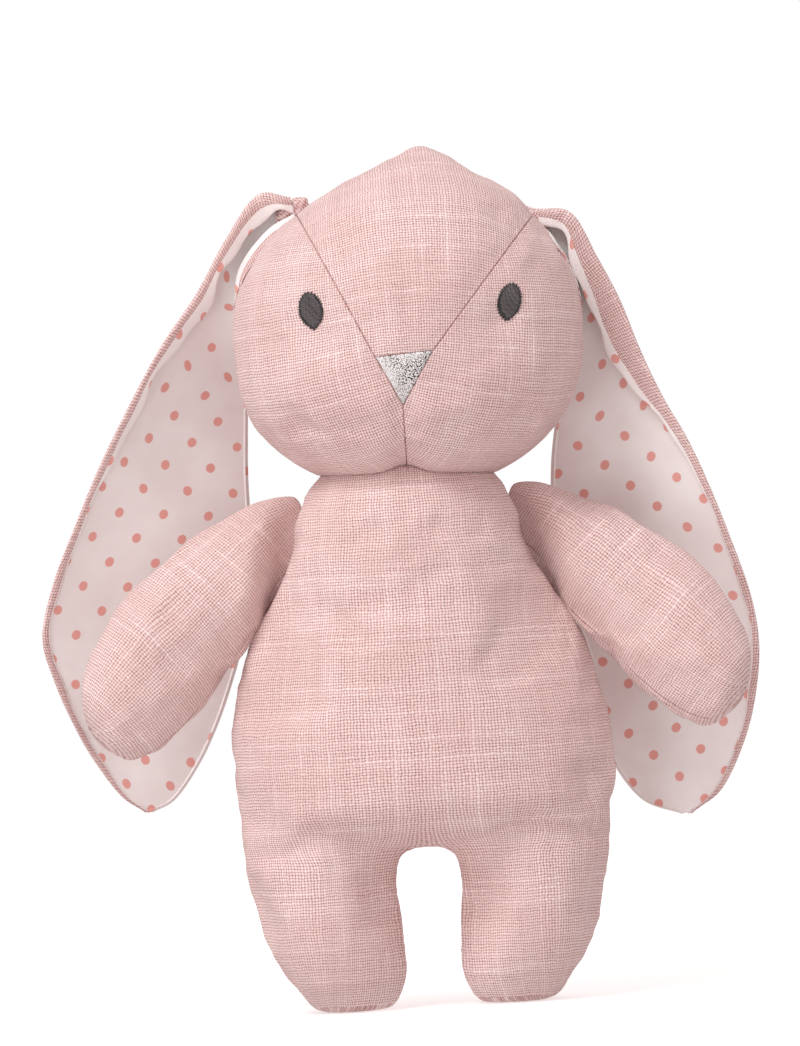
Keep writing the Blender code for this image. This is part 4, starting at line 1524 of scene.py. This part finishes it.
def finish_threads(name, form, pattern, material, body):
    bmesh.ops.recalc_face_normals(form, faces=form.faces)
    obj = new_object(name, form)
    add_pattern(obj, np.array(pattern))
    obj.data.materials.append(material)
    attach(obj, body)
    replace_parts(obj, name)
    return obj


def surface_y(tree, x, z, facing=-1):
    """Where a skin lies at an x and z, seen from the front or from behind."""
    hit = tree.ray_cast(Vector((x, facing * 200, z)) * MM, Vector((0, -facing, 0)))[0]
    return hit.y / MM


EYE_TILT = {"left": 0.20, "right": -0.08}
EYE_SEED = {"left": 11, "right": 12}
EYE_HALF_WIDE, EYE_HALF_TALL = 3.3, 5.35
EYE_RADIUS, RIM_RADIUS, NECK_RADIUS, CLOSING_RADIUS, ARM_SEAM_RADIUS = 0.21, 0.27, 0.22, 0.25, 1.0
STITCH_TURN = math.radians(52)
EYE_EDGE_STITCHES = 34
STITCH_STEP = 0.33
STITCH_DIVE = 0.45  # how deep a stitch's ends go into the cloth
NECK_STITCHES = 40
NECK_STITCH_RISE = 28.6  # above the middle of the neck ball
CLOSING_STITCH_STEP = 3.1


def make_eye(side, head_tree):
    """Satin stitches side by side over a padded oval with a slightly pointed foot."""
    middle_x, _, middle_z = eye_place(side)
    chance = np.random.default_rng(EYE_SEED[side])
    form, pattern = bmesh.new(), []
    along = np.array((math.cos(STITCH_TURN), math.sin(STITCH_TURN)))
    beside_it = np.array((-along[1], along[0]))

    def inside(u, w):
        """0 in the middle of the eye and 1 on its edge, at a place along and beside a stitch."""
        x, z = along * u + beside_it * w
        x -= EYE_TILT[side] * z
        pinch = 1 - 0.62 * max(0.0, -z / EYE_HALF_TALL) ** 3
        return math.hypot(x / (EYE_HALF_WIDE * pinch), z / EYE_HALF_TALL)

    def spot(x, z, rise):
        x, z = middle_x + x, middle_z + z
        return x, surface_y(head_tree, x, z) - rise, z

    for shift, swell_by in ((0, 0.15), (0.16, 0.5)):
        for w in np.arange(-5.4, 5.41, STITCH_STEP) + shift:
            spots = [u for u in np.linspace(-6, 6, 241) if inside(u, w) < 1]
            if len(spots) < 12:
                continue
            a = spots[0] + chance.uniform(-0.40, 0.15)
            b = spots[-1] + chance.uniform(-0.15, 0.40)
            line = []
            for u in np.linspace(a, b, 11):
                x, z = along * u + beside_it * (w + chance.uniform(-0.03, 0.03))
                rise = swell_by * math.sqrt(max(0.0, 1 - inside(u, w) ** 2))
                line.append(spot(x, z, 0.12 + rise))
            for end in (0, -1):
                line[end] = (line[end][0], line[end][1] + STITCH_DIVE, line[end][2])
            pattern += thread_run(form, line, EYE_RADIUS + chance.uniform(-0.02, 0.03))
    filled = len(pattern)
    for angle in np.linspace(0, 2 * math.pi, EYE_EDGE_STITCHES, endpoint=False):
        ray = np.array((math.cos(angle), math.sin(angle)))
        u, w = ray @ along, ray @ beside_it
        rim = next(reach for reach in np.arange(8, 0, -0.05) if inside(u * reach, w * reach) < 1)
        reaches = np.linspace(rim - 1.0, rim + 0.35 + chance.uniform(-0.1, 0.1), 5)
        line = [spot(*(ray * reach), 0.35 - 0.5 * max(0, reach - rim)) for reach in reaches]
        pattern += thread_run(form, line, RIM_RADIUS)
    on_rim = np.arange(len(pattern)) >= filled
    eye = finish_threads(f"{side}_eye", form, pattern, EYE_THREAD, "head")
    add_value(eye, "rim", on_rim)


def make_neck_stitches():
    """The ladder stitch round the crease where the head sits on the trunk."""
    form, pattern = bmesh.new(), []
    for number in range(NECK_STITCHES):
        line = []
        for share in np.linspace(0, 1, 5):
            angle = 2 * math.pi * (number + 0.35 * share) / NECK_STITCHES
            rise = NECK_STITCH_RISE - 1.6 * share
            reach = math.sqrt(NECK_BALL**2 - rise**2) + 0.1
            line.append((reach * math.cos(angle), reach * math.sin(angle), NECK.z + rise))
        pattern += thread_run(form, line, NECK_RADIUS)
    finish_threads("neck_stitches", form, pattern, SEWING_THREAD, "neck")


def make_closing_stitches(trunk_tree):
    """The hand stitches in the centre back seam, through which the toy was stuffed."""
    low, high = box_of("closing_stitches")
    form, pattern = bmesh.new(), []
    for level in np.arange(low[2] + 1, high[2], CLOSING_STITCH_STEP):
        line = []
        for share in np.linspace(-1, 1, 7):
            x, z = 1.5 * share, level + 0.7 * share
            y = surface_y(trunk_tree, x, z, 1) + 0.15 - 0.5 * abs(share) ** 3
            line.append((x, y, z))
        pattern += thread_run(form, line, CLOSING_RADIUS)
    finish_threads("closing_stitches", form, pattern, SEWING_THREAD, "trunk")


def make_arm_seam(side):
    """The arm's flat end, turned in and stitched along the trunk's side seam."""
    low, high = box_of(f"{side}_arm_seam")
    near, far = (low[0], high[0]) if side == "left" else (high[0], low[0])
    out = SIDES[side]
    top = np.array((near + 1.6 * out, 0, high[2] - 1.2))
    foot = np.array((far - 1.6 * out, 0, low[2] + 1.2))
    form = bmesh.new()
    line = [top + (foot - top) * share for share in np.linspace(0, 1, 40)]
    for number, place in enumerate(line):
        place[1] += 0.12 * math.sin(number * 1.9)
    pattern = thread_run(form, line, ARM_SEAM_RADIUS, around=14)
    obj = finish_threads(f"{side}_arm_seam", form, pattern, LINEN, f"{side}_shoulder")
    add_value(obj, "seam_distance", np.full(len(obj.data.vertices), NO_SEAM))


# ---- the toy ----

BODY_SWELL, ARM_SWELL = 3.0, 2.0
FILLING_DEPTH = {"head": 2.6, "body": 2.4, "arm": 1.6}  # below the skin


def whole(points, _):
    return points[:, 2] > 0


head_form, body_form = head_coarse(), body_coarse()
arm_forms = {side: arm_coarse(side) for side in SIDES}
swell(
    [
        (head_form, head_held(points_of(head_form)), BODY_SWELL),
        (body_form, body_held(points_of(body_form)), BODY_SWELL),
        *((form, arm_held(side, points_of(form)), ARM_SWELL) for side, form in arm_forms.items()),
    ]
)

head_skin = subdivided(head_form, 2)
shape_head(head_skin)
head_tree = BVHTree.FromBMesh(head_skin)
make_head(head_skin)
head_core = subdivided(head_form, 1)
shape_head(head_core)
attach(make_filling("head_stuffing", head_core, whole, FILLING_DEPTH["head"]), "head")
for side in SIDES:
    make_eye(side, head_tree)
    make_ear(side, head_tree)
    make_ear_fold(side)

body_skin = subdivided(body_form, 2)
shape_body(body_skin)
make_body(body_skin)
body_tree = BVHTree.FromBMesh(body_skin)
make_closing_stitches(body_tree)
make_neck_stitches()
core = subdivided(body_form, 0)
shape_body(core)
fill = (FILLING_DEPTH["body"], (HIP_SPLIT,))
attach(make_filling("trunk_stuffing", core, in_trunk(), *fill), "trunk")
for side, out in SIDES.items():
    bend_leg(make_filling(f"{side}_leg_stuffing", core, in_leg(out), *fill))

for side, form in arm_forms.items():
    make_arm(subdivided(form, 2), side)
    core = subdivided(form, 1)
    bend_arm(make_filling(f"{side}_arm_stuffing", core, whole, FILLING_DEPTH["arm"]), side)
    make_arm_seam(side)


# ---- stage, light and camera ----

CAMERA_DISTANCE = 2.5
CAMERA_AIM = Vector((-0.0019, 0, 0.1415))
PICTURE_HEIGHT = 0.3058
CAMERA_ROLL = math.radians(-3.6)
LIGHTS = {  # place, size and power
    "key": ((-0.58, -0.78, 1.40), 0.55, 12.4),
    "fill": ((0.9, -1.2, 0.5), 1.2, 1.5),
    "low_fill": ((-0.9, -1.1, -0.22), 1.0, 5.0),
}
LIT_PLACE = Vector((0, 0, 0.14))
SKY_COLOUR, SKY_STRENGTH = (1, 0.915, 0.905, 1), 0.72
STAGE_RADIUS, FLOOR_RADIUS = 6.0, 3.0


def make_backdrop(name, form, grey, gloss, glow):
    """A white surface, seen by the camera only, so that it throws no light on the toy."""
    piece = new_object(name, form)
    piece.visible_diffuse = piece.visible_glossy = piece.visible_shadow = False
    paint = bpy.data.materials.new(f"{name}_paint")
    paint.use_nodes = True
    inputs = paint.node_tree.nodes["Principled BSDF"].inputs
    inputs["Base Color"].default_value = (grey, grey, grey, 1)
    inputs["Roughness"].default_value = 1.0
    inputs["Specular IOR Level"].default_value = gloss
    inputs["Emission Color"].default_value = (1, 1, 1, 1)
    inputs["Emission Strength"].default_value = glow
    piece.data.materials.append(paint)


def make_stage():
    """A white ball all round, and a white floor that shows the toy's faint shadow."""
    form = bmesh.new()
    bmesh.ops.create_icosphere(form, subdivisions=4, radius=STAGE_RADIUS)
    make_backdrop("stage", form, 0.0, 0.5, 1.0)
    form = bmesh.new()
    bmesh.ops.create_circle(form, cap_ends=True, segments=96, radius=FLOOR_RADIUS)
    make_backdrop("floor", form, 0.8, 0.0, 0.5)


def make_light(name, place, size, power):
    data = bpy.data.lights.new(name, "AREA")
    data.size, data.energy = size, power
    light = bpy.data.objects.new(name, data)
    light.location = place
    facing = LIT_PLACE - Vector(place)
    light.rotation_euler = facing.to_track_quat("-Z", "Y").to_euler()
    bpy.context.scene.collection.objects.link(light)


def make_camera():
    data = bpy.data.cameras.new("camera")
    data.sensor_fit = "VERTICAL"
    data.angle_y = 2 * math.atan(PICTURE_HEIGHT / 2 / CAMERA_DISTANCE)
    data.clip_start, data.clip_end = 0.05, 20
    camera = bpy.data.objects.new("camera", data)
    facing = Matrix.Rotation(math.pi / 2, 4, "X") @ Matrix.Rotation(CAMERA_ROLL, 4, "Z")
    camera.matrix_world = Matrix.Translation(CAMERA_AIM - Vector((0, CAMERA_DISTANCE, 0))) @ facing
    bpy.context.scene.collection.objects.link(camera)
    bpy.context.scene.camera = camera


make_stage()
for name, light in LIGHTS.items():
    make_light(name, *light)
world = bpy.data.worlds.new("studio")
world.use_nodes = True
sky = world.node_tree.nodes["Background"].inputs
sky["Color"].default_value, sky["Strength"].default_value = SKY_COLOUR, SKY_STRENGTH
bpy.context.scene.world = world
bpy.context.scene.view_settings.view_transform = "Standard"
make_camera()
